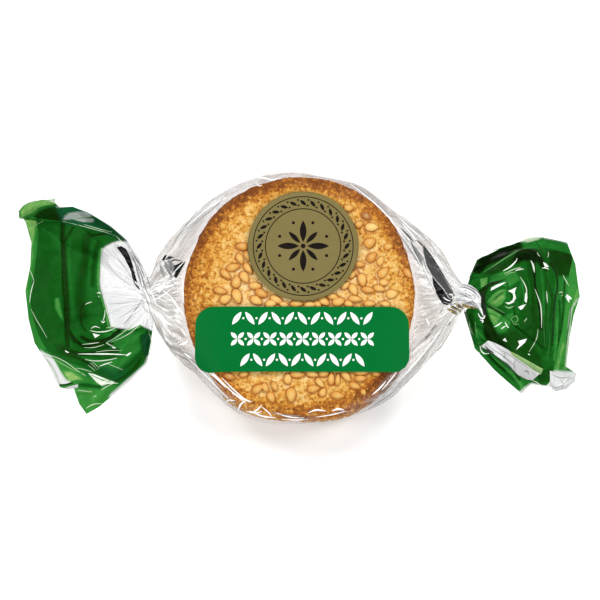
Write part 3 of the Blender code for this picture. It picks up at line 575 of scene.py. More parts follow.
SHOULDER_STREAKS = (
    (0.9, 0.75, 433, 276, 436, 280.5, 443, 288.5, 449, 298, 453, 299),
    (0.9, 0, 424, 245.6, 433.5, 259, 442.5, 274, 450.5, 287.5, 454.6, 296),
    (1.5, 0.97, 447, 296, 450, 294.5, 453, 296, 452, 299), (1.2, 0.97, 443, 297, 447, 300, 451, 301),
    (2.6, 0.3, 410, 240, 415, 250, 421, 264), (2, 0.24, 401, 228, 408, 236, 414, 242),
    (3, 0.4, 412, 243, 418, 254, 423, 266), (1.4, 0.12, 415, 240, 420, 243, 424, 247),
    (0.9, 0.97, 413, 243, 419, 255, 425, 268), (0.9, 0.97, 402, 223, 413, 236, 421, 248),
    (0.9, 0.97, 397, 226, 406, 236, 414, 246, 421, 258),
    (1.2, 0.45, 396, 231, 404, 241, 412, 253, 421, 267), (1, 0.97, 412, 250, 420, 262, 428, 276, 436, 292),
    (1, 0.5, 412, 247, 421, 258, 428, 272), (0.8, 0.35, 417, 250, 422, 257, 424, 264),
    (1.6, 0.72, 418, 256, 424, 270, 432, 286, 438, 298), (0.9, 0.4, 425, 338, 428, 335, 431, 332),
    (1.2, 0.25, 425, 339, 427, 337, 430, 334.5), (1, 0.35, 430, 331, 433, 328, 436, 325),
    (1.2, 0.3, 447, 326, 449, 324, 451, 321), (1, 0.5, 439, 314, 441, 311, 443, 308),
    (1.6, 0.98, 426, 318, 428, 322, 429, 326), (1, 0.97, 440, 330, 430, 345, 418, 360, 406, 374),
    (0.9, 0.97, 424, 352, 412, 366, 402, 378), (0.8, 0.55, 436, 326, 424, 340, 410, 352, 404, 358),
    (1, 0.6, 452, 312, 444, 328, 430, 348, 412, 370, 398, 384), (1, 0.97, 396, 214, 410, 228, 424, 240),
    (0.8, 0.6, 402, 216, 420, 232, 436, 252, 448, 274), (4, 0.45, 164, 261, 168, 268, 172, 277),
    (3, 0.5, 160, 264, 162, 270, 164, 277), (4.6, 0.4, 168, 260, 171.5, 265, 173, 272),
    (1.4, 0.2, 168, 262, 175, 260, 182, 261), (0.8, 0.98, 184.5, 261.4, 179, 267, 173.5, 272.7),
    (0.6, 0.98, 163, 267, 169, 275, 175, 284), (0.7, 0.4, 165, 266, 170, 276, 176, 288),
    (1.2, 0.98, 151, 301, 158, 298, 166, 293, 172, 288), (1.2, 0.98, 172, 300, 178, 308, 186, 318),
    (0.9, 0.98, 162, 290, 170, 296, 180, 308), (1, 0.98, 182, 276, 183, 290, 184, 304),
    (1.8, 0.98, 163, 319, 167, 323, 173, 326), (1.6, 0.98, 181, 329, 184, 333, 187, 337),
    (2, 0.98, 179, 345, 183, 344, 188, 341), (1.8, 0.98, 184, 353, 188, 356, 192, 359),
    (1.2, 0.66, 186, 356, 192, 363, 198, 370), (1.2, 0.98, 188, 358, 202, 372, 216, 386, 228, 398),
    (0.9, 0.72, 192, 358, 206, 373, 222, 388), (1.2, 0.98, 196, 356, 212, 372, 228, 388, 246, 404),
    (0.9, 0.8, 186, 362, 204, 382, 222, 400, 240, 414), (1.6, 0.98, 200, 366, 214, 376, 226, 388),
    (1.4, 0.98, 232, 393, 241, 398, 250, 402), (1.8, 0.98, 238, 411, 241, 404, 246, 401),
    (1.6, 0.98, 251, 413, 257, 410, 262, 405), (1.2, 0.98, 225, 403, 229, 400, 235, 401),
    (1.2, 0.98, 246, 411, 256, 413, 262, 411), (1.2, 0.98, 222, 378, 234, 390, 246, 400),
    (1.2, 0.98, 276, 413, 290, 417, 304, 418), (1.6, 0.98, 250, 411, 262, 416, 276, 418),
    (1, 0.98, 262, 407, 268, 412, 272, 417), (1.2, 0.98, 282, 419, 296, 420, 308, 419),
    (1.6, 0.98, 308, 413, 316, 410, 326, 411), (1.2, 0.98, 228, 388, 238, 396, 252, 402),
    (1, 0.75, 204, 376, 220, 392, 236, 405), (1, 0.3, 296, 416, 305, 419, 310, 415),
    (2, 0.98, 332, 411, 338, 409, 344, 410), (1.2, 0.98, 316, 417, 330, 415, 346, 411),
    (1, 0.5, 270, 412, 284, 415, 300, 416), (1.4, 0.98, 386, 381, 380, 388, 372, 395),
    (1, 0.98, 400, 366, 392, 378, 382, 390), (1.4, 0.98, 256, 178, 264, 178, 272, 180, 280, 178),
    (0.8, 0.5, 228, 193, 216, 206, 202, 218, 190, 228), (0.9, 0.98, 180, 232, 192, 222, 206, 210, 226, 197),
    (0.8, 0.98, 256, 182, 259, 186, 262, 185), (0.9, 0.5, 172, 246, 184, 228, 198, 210),
    (1.2, 0.98, 389, 216, 392, 222, 396, 226), (1, 0.98, 350, 184, 366, 196, 384, 212, 400, 232),
    (0.8, 0.6, 356, 186, 374, 198, 392, 216),
)
# Dark shapes are painted dark reflections of the room in the film's folds, pale ones painted highlights.
SHOULDER_SHAPES = (
    (0.13, 422.8, 245.8, 425, 246.5, 433, 259, 442, 274.5, 450, 288, 454.3, 296, 453, 299, 449, 298, 443,
     288.5, 436, 280.5, 432.5, 276, 427, 266, 423.5, 253),
    (0, 432.2, 276, 435.7, 281, 442.7, 289, 448.8, 298.4, 453, 299.4, 451, 303, 447, 305, 443, 304, 439,
     298.5, 435.5, 292, 433, 284),
    (0.98, 154, 288, 160, 286, 165, 282.5, 164, 288, 159, 293, 156, 290),
    (0, 161.8, 260, 165, 255, 166.8, 255.2, 164, 260.6), (0.05, 165, 260, 169, 256, 174.5, 257.3, 170, 259),
    (0.02, 169, 268.6, 172.7, 266, 178, 264, 181.8, 261.8, 185.3, 261.2, 184.5, 264, 181.8, 268.6, 179.5,
     273, 176, 278.6, 173.6, 276, 175.5, 272.3, 171.8, 270.5),
)
NECK_GOLD_SHAPES = (
    (0, 454, 303.2, 456.5, 302.6, 463, 307, 462.5, 309.4, 458, 307.6),
    (0, 449.5, 307, 452, 306, 461.5, 310.6, 460.8, 313),
    (0, 446.4, 309.2, 448.6, 308.4, 458, 313.2, 456.6, 315.8),
    (0, 462, 303, 467, 305.4, 476, 307, 475.4, 309, 468, 308.4, 462.5, 306.6),
)

# Paths between which each upper layer of a fan is spanned
LEFT_FRONT_OUTER = (
    149, 280, 140, 262, 127, 243, 115, 236, 100, 231, 82, 227, 64, 222, 50, 220, 38, 220, 38, 235, 37, 250,
    35, 265, 33, 278, 31, 292, 31, 305, 34, 320, 39, 335, 46, 348, 53, 355, 66, 361, 80, 366, 92, 371, 104,
    378, 117, 383, 130, 376, 142, 364, 149, 350, 152, 334, 154, 320,
)
LEFT_FRONT_INNER = (149, 284, 147, 292, 147, 300, 149, 308, 153, 316)
LEFT_CURL_TOP = (19, 218, 19, 212, 22, 207, 28, 203, 36, 201, 45, 200, 55, 199)
LEFT_CURL_LOW = (21, 219, 28, 218, 35, 215.5, 39, 211, 45, 208.5, 51, 206.5, 55, 205)
# The curl darkens along its left and lower edges as painted shade under the roll.
LEFT_CURL_LINES = (
    (0.32, 0.6, 1.4, 20, 216, 20, 211, 24, 206), (0.5, 0.7, 2.2, 22, 219, 34, 214, 42, 208, 56, 206),
)
LEFT_CURL_WHITES = (
    (1, 0.6, 1.6, 51, 200.5, 56, 202),
)
LEFT_TAIL_TOP = (59, 384, 64, 384, 70, 382.5, 78, 379.5)
LEFT_TAIL_LOW = (60, 387.5, 65, 388, 72, 386.5, 80, 384.5)
LEFT_TAIL_LINES = (
    (0.95, 0.8, 1.2, 60, 385, 66, 384.6, 72, 383),
)
LEFT_FLAP_TOP = (42, 353, 50, 355, 55, 361, 60, 370, 65, 378, 70, 383, 78, 384)
LEFT_FLAP_LOW = (42, 355, 46, 360, 52, 367, 57, 378, 59, 386, 66, 389, 78, 388)
RIGHT_FRONT_OUTER = (
    467, 287, 472, 272, 479, 259, 492, 254, 507, 251, 523, 249, 546, 248, 560, 251, 572, 256, 569, 275, 566,
    300, 562, 330, 557, 352, 553, 371, 548, 384, 538, 384, 527, 380, 510, 370, 495, 358, 482, 347, 474, 338,
    468, 325, 464, 312,
)
RIGHT_FRONT_INNER = (466, 294, 469, 299, 470, 304, 468, 308, 465, 311)
RIGHT_WEDGE_TOP = (508, 350.5, 516, 354, 526, 359.5, 535, 364.5, 543, 369)
RIGHT_WEDGE_LOW = (510, 354, 518, 360, 528, 366.5, 535, 371, 541, 375)
RIGHT_STRIP_TOP = (
    488, 340.5, 496, 343.5, 504, 347.5, 509.5, 351, 512, 355, 519, 360, 527, 365.5, 534, 370.5, 540, 373.5,
)
RIGHT_STRIP_LOW = (
    480, 347, 486, 349, 494, 354.5, 501, 359.5, 508, 364, 513, 369.5, 519, 375.5, 526, 379.5, 533, 380,
)
RIGHT_FLAP_TOP = (550, 370.5, 557, 373, 564, 374, 568, 376, 573, 373, 577, 372.5)
RIGHT_FLAP_LOW = (550, 386, 555, 391, 561, 390, 567, 388.5, 572, 383, 576, 376)
RIGHT_KNOT_TOP = (455, 288, 460, 284.5, 466, 283.5, 472, 286, 478, 291, 481, 297)
RIGHT_KNOT_LOW = (456, 301, 461, 306, 466, 308, 472, 308, 478, 308, 481, 306)


def ease(value):
    """0 below 0, 1 above 1, and a smooth rise between."""
    value = min(max(value, 0.0), 1.0)
    return value * value * (3.0 - 2.0 * value)


def fade(value, start, full):
    """0 up to start and 1 from full on, both in millimetres, or the other way if full is less."""
    return ease((value / MM - start) / (full - start))


def hump(value, middle, reach):
    """1 at the middle and 0 from this reach on either side of it."""
    return ease(1.0 - abs(value - middle) / reach)


def through(before, start, end, after, share):
    """A smooth curve through start and end, which the points on either side steer."""
    return 0.5 * (
        2.0 * start
        + (end - before) * share
        + (2.0 * before - 5.0 * start + 4.0 * end - after) * share**2
        + (3.0 * start - before - 3.0 * end + after) * share**3
    )


def wander(x, y, z):
    """Smooth noise from about -1 to 1 at a place given in its own wavelengths."""
    return noise.noise(Vector((x, y, z)))


def ridge(x, y, z):
    """Sharp-crested noise: 1 on a crease and 0 far from one."""
    return max(0.0, 1.0 - abs(wander(x, y, z)) * 3.2)


def film_side(x, column):
    """The film outline's far (1) or near (2) side at this place along the package."""
    last = len(FILM_OUTLINE) - 1
    index = 0
    while index < last - 1 and FILM_OUTLINE[index + 1][0] < x:
        index += 1
    start = FILM_OUTLINE[index]
    end = FILM_OUTLINE[index + 1]
    before = FILM_OUTLINE[max(index - 1, 0)]
    after = FILM_OUTLINE[min(index + 2, last)]
    share = min(max((x - start[0]) / (end[0] - start[0]), 0.0), 1.0)
    return through(before[column], start[column], end[column], after[column], share)


def toward_neck(x, start):
    """0 at this distance from the middle of the package, 1 at the neck on that side."""
    neck = -LEFT_NECK[0] if x < 0.0 else RIGHT_NECK[0]
    return (abs(x) - start) / (neck - start)


def section(x):
    """The cross-section there: its middle in Y and Z, half its size, and how square it is."""
    far = film_side(x, 1)
    near = film_side(x, 2)
    share = min(max(toward_neck(x, FLAT_TOP_REACH), 0.0), 1.0)
    body_half = BODY_HEIGHT - BODY_MIDDLE
    half_height = NECK_HALF_THICKNESS + (body_half - NECK_HALF_THICKNESS) * (1.0 - share**SIDE_POWER)
    power = NECK_POWER + (DISC_POWER - NECK_POWER) * (1.0 - ease(share * 1.4))
    middle = BODY_MIDDLE + (NECK_HEIGHT - BODY_MIDDLE) * share
    past_neck = max(LEFT_NECK[0] - x, x - RIGHT_NECK[0], 0.0) / TIP_RADIUS
    rounding = math.sqrt(max(1.0 - past_neck**2, 0.0))
    half_width = (far - near) / 2.0 * rounding
    return (far + near) / 2.0, middle, half_width, half_height * rounding, power


def film_top(x, y):
    """Height of the film's upper face, without its pleats."""
    centre, middle, half_width, half_height, power = section(x)
    out = min(abs(y - centre) / half_width, 1.0)
    return middle + half_height * (1.0 - out**power) ** (1.0 / power)


def drawn_in(x, y):
    """How much narrower the biscuit is on its right side than a true round."""
    return 1.0 * MM * fade(x, 8.0, 22.0) * fade(y, 19.0, 9.0) * fade(y, -24.0, -14.0)


def film_slope(x, y):
    """How steeply the upper face climbs along X and along Y."""
    step = 0.1 * MM
    along = film_top(x + step, y) - film_top(x - step, y)
    across = film_top(x, y + step) - film_top(x, y - step)
    return along / (2.0 * step), across / (2.0 * step)


def over_film(x, y, lift):
    """A point this far out from the film's upper face."""
    slope_x, slope_y = film_slope(x, y)
    out = Vector((-slope_x, -slope_y, 1.0)).normalized()
    return Vector((x, y, film_top(x, y))) + out * lift


class View:
    """The camera's axes and place, and how pixels of the photograph and points match."""

    def __init__(self):
        self.back = VIEW_LEAN.normalized()
        self.right = Vector((0.0, 1.0, 0.0)).cross(self.back).normalized()
        self.up = self.back.cross(self.right)
        self.spread = SENSOR_MM / LENS_MM / FRAME_PIXELS
        distance = PIXEL / self.spread
        self.eye = KNOWN_POINT - self.ray(*KNOWN_PIXEL) * distance

    def ray(self, column, row):
        """The direction in which a pixel looks, one unit deep along the view."""
        half = FRAME_PIXELS / 2.0
        across = self.right * ((column - half) * self.spread)
        return across + self.up * ((half - row) * self.spread) - self.back

    def place(self, column, row, height):
        """The point at this height under a pixel."""
        ray = self.ray(column, row)
        return self.eye + ray * ((height - self.eye.z) / ray.z)

    def pixels(self, points):
        """The pixels that show these points, one row of two numbers for each."""
        away = numpy.array(points) - numpy.array(self.eye)
        depth = -away @ numpy.array(self.back) * self.spread
        half = FRAME_PIXELS / 2.0
        columns = half + away @ numpy.array(self.right) / depth
        rows = half - away @ numpy.array(self.up) / depth
        return numpy.column_stack((columns, rows))


VIEW = View()


class Surface:
    """What a fold lies on: finds the point that a pixel of the photograph shows."""

    def __init__(self, *objects):
        bm = bmesh.new()
        for obj in objects:
            bm.from_mesh(obj.data)
        self.tree = BVHTree.FromBMesh(bm)
        bm.free()

    def point(self, pixel, lift):
        """The point under the pixel, raised by lift towards the camera."""
        ray = VIEW.ray(*pixel)
        spot = self.tree.ray_cast(VIEW.eye, ray.normalized())[0]
        if spot is None:
            beside = self.tree.find_nearest(VIEW.place(*pixel, NECK_HEIGHT))[0]
            spot = VIEW.place(*pixel, beside.z)
        return spot + ray * (lift / ray.z)


def pairs(numbers):
    """The points of a path whose columns and rows are given in turn."""
    return list(zip(numbers[::2], numbers[1::2]))


def along_path(path, count):
    """Evenly spaced points, one more than count, on a smooth curve through a path's points."""
    points = pairs(path)
    last = len(points) - 1
    curve = []
    for step in range(last * CURVE_STEPS + 1):
        index = min(step // CURVE_STEPS, last - 1)
        ring = [points[min(max(index + beside, 0), last)] for beside in (-1, 0, 1, 2)]
        share = step / CURVE_STEPS - index
        curve.append([through(*(spot[axis] for spot in ring), share) for axis in range(2)])
    curve = numpy.array(curve)
    steps = numpy.linalg.norm(numpy.diff(curve, axis=0), axis=1)
    travelled = numpy.concatenate(((0.0,), numpy.cumsum(steps)))
    wanted = numpy.linspace(0.0, travelled[-1], count + 1)
    return numpy.column_stack([numpy.interp(wanted, travelled, curve[:, axis]) for axis in range(2)])


def ease_all(values):
    """What ease gives, for each of many numbers."""
    values = numpy.clip(values, 0.0, 1.0)
    return values * values * (3.0 - 2.0 * values)


def path_reach(pixels, path, limit):
    """How far each pixel is from a path, up to a limit."""
    found = numpy.full(len(pixels), float(limit))
    low = path.min(axis=0) - limit
    high = path.max(axis=0) + limit
    near = numpy.where(((pixels > low) & (pixels < high)).all(axis=1))[0]
    spots = pixels[near]
    best = found[near]
    for start, end in zip(path, path[1:]):
        run = end - start
        share = numpy.clip((spots - start) @ run / max(run @ run, TINY), 0.0, 1.0)
        away = spots - start - share[:, None] * run
        best = numpy.minimum(best, numpy.linalg.norm(away, axis=1))
    found[near] = best
    return found


def inside(pixels, outline):
    """Which pixels lie within a closed outline."""
    columns, rows = pixels.T
    within = numpy.zeros(len(pixels), bool)
    for (start_x, start_y), (end_x, end_y) in zip(outline, numpy.roll(outline, -1, axis=0)):
        crosses = (start_y > rows) != (end_y > rows)
        drop = end_y - start_y if end_y != start_y else TINY
        within ^= crosses & (columns < start_x + (rows - start_y) / drop * (end_x - start_x))
    return within


def area_share(pixels, outline, softness):
    """1 well inside an outline, 0 well outside it, and a soft step across it."""
    outline = numpy.array(pairs(outline), float)
    closed = numpy.vstack((outline, outline[:1]))
    reach = path_reach(pixels, closed, softness)
    depth = numpy.where(inside(pixels, outline), reach, -reach)
    return ease_all(0.5 + depth / (2.0 * softness))


def line_share(pixels, path, half_width):
    """1 on a path, 0 beyond its half width."""
    reach = path_reach(pixels, along_path(path, STROKE_STEPS * len(path)), half_width)
    return ease_all((1.0 - reach / half_width) * LINE_FIRMNESS)


def marked(pixels, base, areas=(), lines=()):
    """A number for each pixel: the base, with areas and then lines laid over it."""
    values = numpy.full(len(pixels), float(base))
    for tone, strength, softness, *outline in areas:
        values += (tone - values) * strength * area_share(pixels, outline, softness)
    for tone, strength, half_width, *path in lines:
        values += (tone - values) * strength * line_share(pixels, path, half_width)
    return values


def creased(pixels, lines, depth):
    """How far folds along the lines stand out of the sheet."""
    rise = numpy.zeros(len(pixels))
    for _, strength, half_width, *path in lines:
        rise = numpy.maximum(rise, depth * strength * line_share(pixels, path, half_width * FOLD_SPREAD))
    return rise


class Wire:
    """A shader value that takes part in sums: each operator adds one Math node."""

    def __init__(self, paint, socket):
        self.paint = paint
        self.socket = socket

    def maths(self, operation, first, second=0.0):
        return self.paint.add("ShaderNodeMath", {"operation": operation}, {0: first, 1: second})

    def __add__(self, other):
        return self.maths("ADD", self, other)

    def __radd__(self, other):
        return self.maths("ADD", other, self)

    def __sub__(self, other):
        return self.maths("SUBTRACT", self, other)

    def __rsub__(self, other):
        return self.maths("SUBTRACT", other, self)

    def __mul__(self, other):
        return self.maths("MULTIPLY", self, other)

    def __rmul__(self, other):
        return self.maths("MULTIPLY", other, self)

    def most(self, other):
        return self.maths("MAXIMUM", self, other)

    def least(self, other):
        return self.maths("MINIMUM", self, other)

    def size(self):
        return self.maths("ABSOLUTE", self)

    def rise(self, low, high):
        """0 where the value is below low, 1 above high, smooth between. It falls if low > high."""
        settings = {"interpolation_type": "SMOOTHSTEP"}
        sockets = {"Value": self, "From Min": low, "From Max": high}
        if low > high:
            sockets = {"Value": self, "From Min": high, "From Max": low, "To Min": 1.0, "To Max": 0.0}
        return self.paint.add("ShaderNodeMapRange", settings, sockets)


class Paint:
    """The node tree of one material."""

    def __init__(self, name):
        self.material = bpy.data.materials.new(name)
        self.material.use_nodes = True
        self.tree = self.material.node_tree
        self.tree.nodes.clear()
        self.output = self.tree.nodes.new("ShaderNodeOutputMaterial")

    def add(self, kind, settings=None, sockets=None, output=0):
        """A node of this kind: its settings, then its sockets' values or links."""
        node = self.tree.nodes.new(kind)
        for name, value in (settings or {}).items():
            setattr(node, name, value)
        for name, value in (sockets or {}).items():
            if isinstance(value, Wire):
                self.tree.links.new(value.socket, node.inputs[name])
            else:
                node.inputs[name].default_value = value
        return Wire(self, node.outputs[output])

    def place(self):
        return self.add("ShaderNodeTexCoord", output="Object")

    def attribute(self, name, output="Fac"):
        return self.add("ShaderNodeAttribute", {"attribute_name": name}, output=output)

    def noise(self, vector, scale, detail=2.0, roughness=0.5, distortion=0.0):
        sockets = {"Vector": vector, "Scale": scale, "Detail": detail}
        sockets.update({"Roughness": roughness, "Distortion": distortion})
        return self.add("ShaderNodeTexNoise", None, sockets)

    def blend(self, share, first, second):
        """One colour over another by a share from 0 to 1."""
        settings = {"data_type": "RGBA"}
        return self.add("ShaderNodeMix", settings, {0: share, 6: first, 7: second}, 2)

    def ramp(self, value, tones):
        """The colour at a value from 0 to 1, between display colours at their places."""
        colour = self.add("ShaderNodeValToRGB", None, {"Fac": value})
        stops = colour.socket.node.color_ramp.elements
        while len(stops) < len(tones):
            stops.new(1.0)
        for stop, (place, tone) in zip(stops, tones):
            stop.position = place
            stop.color = shown(*tone)
        return colour

    def bump(self, height, distance):
        return self.add("ShaderNodeBump", None, {"Height": height, "Distance": distance})

    def shader(self, **sockets):
        names = {name.replace("_", " "): value for name, value in sockets.items()}
        return self.add("ShaderNodeBsdfPrincipled", None, names, "BSDF")

    def clear(self, level=0.99):
        return self.add("ShaderNodeBsdfTransparent", None, {"Color": (level, level, level, 1.0)})

    def layer(self, share, first, second):
        """The second shader over the first by a share from 0 to 1."""
        return self.add("ShaderNodeMixShader", None, {"Fac": share, 1: first, 2: second})

    def finish(self, shader):
        self.tree.links.new(shader.socket, self.output.inputs["Surface"])
        return self.material


def shown(red, green, blue):
    """The linear colour that shows as this display colour, 0 to 255, in the studio's light."""
    linear = []
    for channel in (red, green, blue):
        share = channel / 255.0
        low = share / 12.92
        high = ((share + 0.055) / 1.055) ** 2.4
        linear.append((low if share <= 0.04045 else high) / LIGHT_LEVEL)
    return (*linear, 1.0)


def film_creases(paint, scale, sharpness):
    """Thin creases that run with the film's pleats, 1 on a crease and 0 beside it."""
    spread = paint.noise(paint.attribute("sheet", "Vector"), scale, 3.0, 0.62, 0.25)
    return (1.0 - (spread - 0.5).size() * sharpness).most(0.0)


def clear_film():
    """Thin clear film: nearly unseen where taut, clouded where slack, with painted dark reflections and
    painted highlights along its creases.
    """
    paint = Paint("clear film")
    loose = paint.attribute("loose")
    streak = paint.attribute("streak")
    sheet = paint.attribute("sheet", "Vector")
    pale = film_creases(paint, 1.9, 20.0)
    dark = film_creases(paint, 2.7, 30.0)
    broad = paint.noise(sheet, 1.3)
    runs = paint.noise(sheet, 5.5, 4.0, 0.66, 0.35)
    facing = paint.add("ShaderNodeLayerWeight", None, {"Blend": 0.25}, "Fresnel")
    mirror = paint.shader(Base_Color=(0.93, 0.94, 0.95, 1.0), Metallic=1.0, Roughness=0.08)
    grey = paint.shader(Base_Color=shown(168, 165, 161), Roughness=0.3, Specular_IOR_Level=0.1)
    painted_dark_reflection = paint.shader(Base_Color=shown(96, 95, 95), Roughness=0.2)
    white = paint.shader(Base_Color=(0.93, 0.93, 0.93, 1.0), Roughness=0.3)
    shine = (facing * 0.3 + 0.01) * (loose.least(1.0) * 0.96 + 0.04)
    clouds = broad.rise(0.3, 0.7) * 0.2 + runs.rise(0.42, 0.62) * 0.3 + 0.07
    glaze = runs.rise(0.48, 0.38) * 0.3
    film = paint.layer(shine, paint.clear(), mirror)
    film = paint.layer(loose * clouds, film, grey)
    # Painted dark reflection of the room along thin creases where the film is slack.
    film = paint.layer(loose * dark * (streak * 0.35 + 0.06), film, painted_dark_reflection)
    # Milky haze in pale runs, and painted highlights along thin creases.
    film = paint.layer(loose * (pale * (streak * 0.5 + 0.2) + glaze).least(0.85), film, white)
    return paint.finish(film)


def green_film():
    """Film with a glossy green print, darker where it is doubled, clear where it is unprinted."""
    paint = Paint("green film")
    mottle = paint.noise(paint.place(), 420.0, 3.0, 0.65)
    speckle = paint.noise(paint.place(), 2200.0, 1.0)
    pleats = paint.noise(paint.attribute("sheet", "Vector"), 3.4, 3.0, 0.6)
    grain = (mottle - 0.5) * 0.18 + (pleats - 0.5) * 0.16 + (speckle - 0.5) * 0.1
    ink = paint.ramp(paint.attribute("tone") + grain, GREEN_TONES)
    ink = paint.blend(paint.attribute("cool"), ink, shown(*TEAL_TONE))
    # Pale where the film is unprinted, and in a few places a painted highlight or reflection.
    ink = paint.blend(paint.attribute("white"), ink, shown(*PALE_TONE))
    body = paint.shader(Base_Color=ink, Roughness=0.35, Specular_IOR_Level=0.02)
    haze = paint.shader(Base_Color=shown(230, 230, 231), Roughness=0.3, Specular_IOR_Level=0.1)
    grey = paint.shader(Base_Color=shown(150, 150, 150), Roughness=0.3)
    film = paint.layer(mottle.rise(0.35, 0.7) * 0.03, paint.clear(), grey)
    film = paint.layer(pleats.rise(0.38, 0.66) * 0.4 + 0.45, film, haze)
    return paint.finish(paint.layer(paint.attribute("clear"), body, film))


def crease_film(name, tones):
    """One sharp crease: dark where it mirrors the room, pale where it catches a light."""
    paint = Paint(name)
    grain = paint.noise(paint.place(), 1500.0)
    colour = paint.ramp(paint.attribute("grey") + (grain - 0.5) * 0.06, tones)
    body = paint.shader(Base_Color=colour, Roughness=0.25, Specular_IOR_Level=0.1)
    return paint.finish(paint.layer(paint.attribute("edge").rise(0.0, 0.55), paint.clear(1.0), body))


def biscuit_crust():
    """Baked shortbread: pale crumb on top, darker grains in the crumb's low spots with a painted highlight
    on its peaks, and a brown stippled rim and base.
    """
    paint = Paint("baked shortbread")
    flat = paint.add("ShaderNodeMapping", None, {"Vector": paint.place(), "Scale": (1.0, 1.0, 0.35)})
    rim = paint.attribute("browned")
    broad = paint.noise(flat, 95.0, 3.0, 0.55)
    patch = paint.noise(flat, 300.0, 4.0, 0.62, 0.5)
    lumps = paint.add("ShaderNodeTexVoronoi", None, {"Vector": flat, "Scale": 520.0}, "Distance")
    crumb = paint.noise(flat, 1000.0, 4.0, 0.72)
    stipple = paint.noise(flat, 1500.0, 2.0, 0.6)
    grains = (0.5 - crumb) * (rim * 1.1 + 1.0) + 0.03
    bake = rim + (broad - 0.5) * 0.4 + (patch - 0.5) * 0.58 + (lumps - 0.4) * 0.12 + grains
    dots = stipple.rise(0.47, 0.36) * bake.rise(0.16, 0.62)
    colour = paint.ramp(bake, CRUST_TONES)
    # Darker grain where the crumb's relief is low.
    colour = paint.blend(crumb.rise(0.5, 0.36) * 0.6, colour, shown(188, 112, 42))
    # Painted highlight: pale cream on the crumb's raised peaks, less towards the rim.
    colour = paint.blend(crumb.rise(0.55, 0.7) * (0.5 - rim * 0.5), colour, shown(255, 232, 170))
    colour = paint.blend(dots * 0.8, colour, shown(126, 64, 24))
    # The brown line round each seed: partly toasting, partly a painted shadow on the seeds' near left.
    colour = paint.blend(paint.attribute("seed_toast_and_shadow_line") * 0.75, colour, shown(172, 88, 36))
    relief = crumb * 0.7 + patch * 0.5 + lumps * 0.35 + stipple * 0.25
    shader = paint.shader(
        Base_Color=colour,
        Roughness=patch * 0.2 + 0.6,
        Normal=paint.bump(relief, 0.45 * MM),
        Specular_IOR_Level=0.12,
    )
    return paint.finish(shader)


def seed_skin():
    """Toasted sesame: golden with a painted highlight along its back, and painted shade that turns orange
    and then brown down to where it meets the crumb.
    """
    paint = Paint("toasted sesame")
    height = paint.attribute("height")
    veins = paint.noise(paint.place(), 380.0)
    colour = paint.ramp(paint.attribute("tone") * 0.6 + 0.3 + (veins - 0.5) * 0.4, SEED_TONES)
    # Painted shade: more orange down the seed's sides.
    colour = paint.blend(height.rise(0.95, 0.35) * 0.5, colour, shown(222, 128, 40))
    # Painted highlight along the seed's back.
    colour = paint.blend(height.rise(0.8, 1.0) * 0.35, colour, shown(255, 228, 156))
    # Painted shade: dark brown at the seed's lowest edge, where it meets the crumb.
    colour = paint.blend(height.rise(0.46, 0.14) * 0.85, colour, shown(152, 66, 22))
    shader = paint.shader(
        Base_Color=colour,
        Roughness=0.42,
        Specular_IOR_Level=0.25,
        Normal=paint.bump(veins, 0.015 * MM),
    )
    return paint.finish(shader)


def satin_print(name, colour, shade, roughness):
    """Opaque printing ink, with the faint cloudiness of a printed film."""
    paint = Paint(name)
    place = paint.place()
    cloud = paint.noise(place, 120.0)
    dots = paint.noise(place, 2600.0, 1.0)
    tone = paint.blend((cloud * 0.6 + dots * 0.4).rise(0.35, 0.65), colour, shade)
    roughness = dots * 0.08 + roughness
    return paint.finish(paint.shader(Base_Color=tone, Roughness=roughness, Specular_IOR_Level=0.04))


def gold_edge():
    """The printed gold line along the film's edge."""
    paint = Paint("gold edge")
    gleam = paint.noise(paint.place(), 900.0)
    tone = paint.blend(gleam.rise(0.4, 0.6), shown(72, 60, 12), shown(166, 144, 58))
    return paint.finish(paint.shader(Base_Color=tone, Roughness=0.3))


def pale_floor():
    """A smooth white table."""
    paint = Paint("white table")
    grain = paint.noise(paint.place(), 40.0)
    tone = paint.blend(grain, (0.93, 0.93, 0.93, 1.0), (0.95, 0.95, 0.95, 1.0))
    return paint.finish(paint.shader(Base_Color=tone, Roughness=0.75, Specular_IOR_Level=0.2))


def add_object(name, data):
    obj = bpy.data.objects.new(name, data)
    bpy.context.scene.collection.objects.link(obj)
    return obj


def mesh_object(bm, name, material, smooth=True):
    """Make a bmesh an object at the origin."""
    mesh = bpy.data.meshes.new(name)
    bm.to_mesh(mesh)
    bm.free()
    if smooth:
        mesh.shade_smooth()
    mesh.materials.append(material)
    return add_object(name, mesh)


def piece_from(bm, name, material, node=None, smooth=True):
    """A piece that rides on the part's one body and stands for a node of the solids, if one is given."""
    obj = mesh_object(bm, name, material, smooth)
    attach(obj, "root")
    if node:
        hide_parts(node)
    return obj


def add_wall(obj, thickness):
    wall = obj.modifiers.new("wall", "SOLIDIFY")
    wall.thickness = thickness
    wall.offset = 1.0


def keep_values(obj, name, values):
    """Store one number for each vertex, for a material to read."""
    layer = obj.data.attributes.new(name, "FLOAT", "POINT")
    layer.data.foreach_set("value", values)


def keep_vectors(obj, name, values):
    layer = obj.data.attributes.new(name, "FLOAT_VECTOR", "POINT")
    layer.data.foreach_set("vector", [number for value in values for number in value])


def lain_seeds():
    """Each seed's middle on the biscuit, its turn, its half length and half width, and its tone."""
    seeds = []
    for column, row, heading, length, width, tone in SEEDS:
        middle = VIEW.place(column, row, BODY_HEIGHT - BISCUIT_GAP)
        half = length / 2.0 * PIXEL
        seeds.append((middle.x, middle.y, math.radians(heading), half, width / 2.0 * PIXEL, tone))
    return seeds


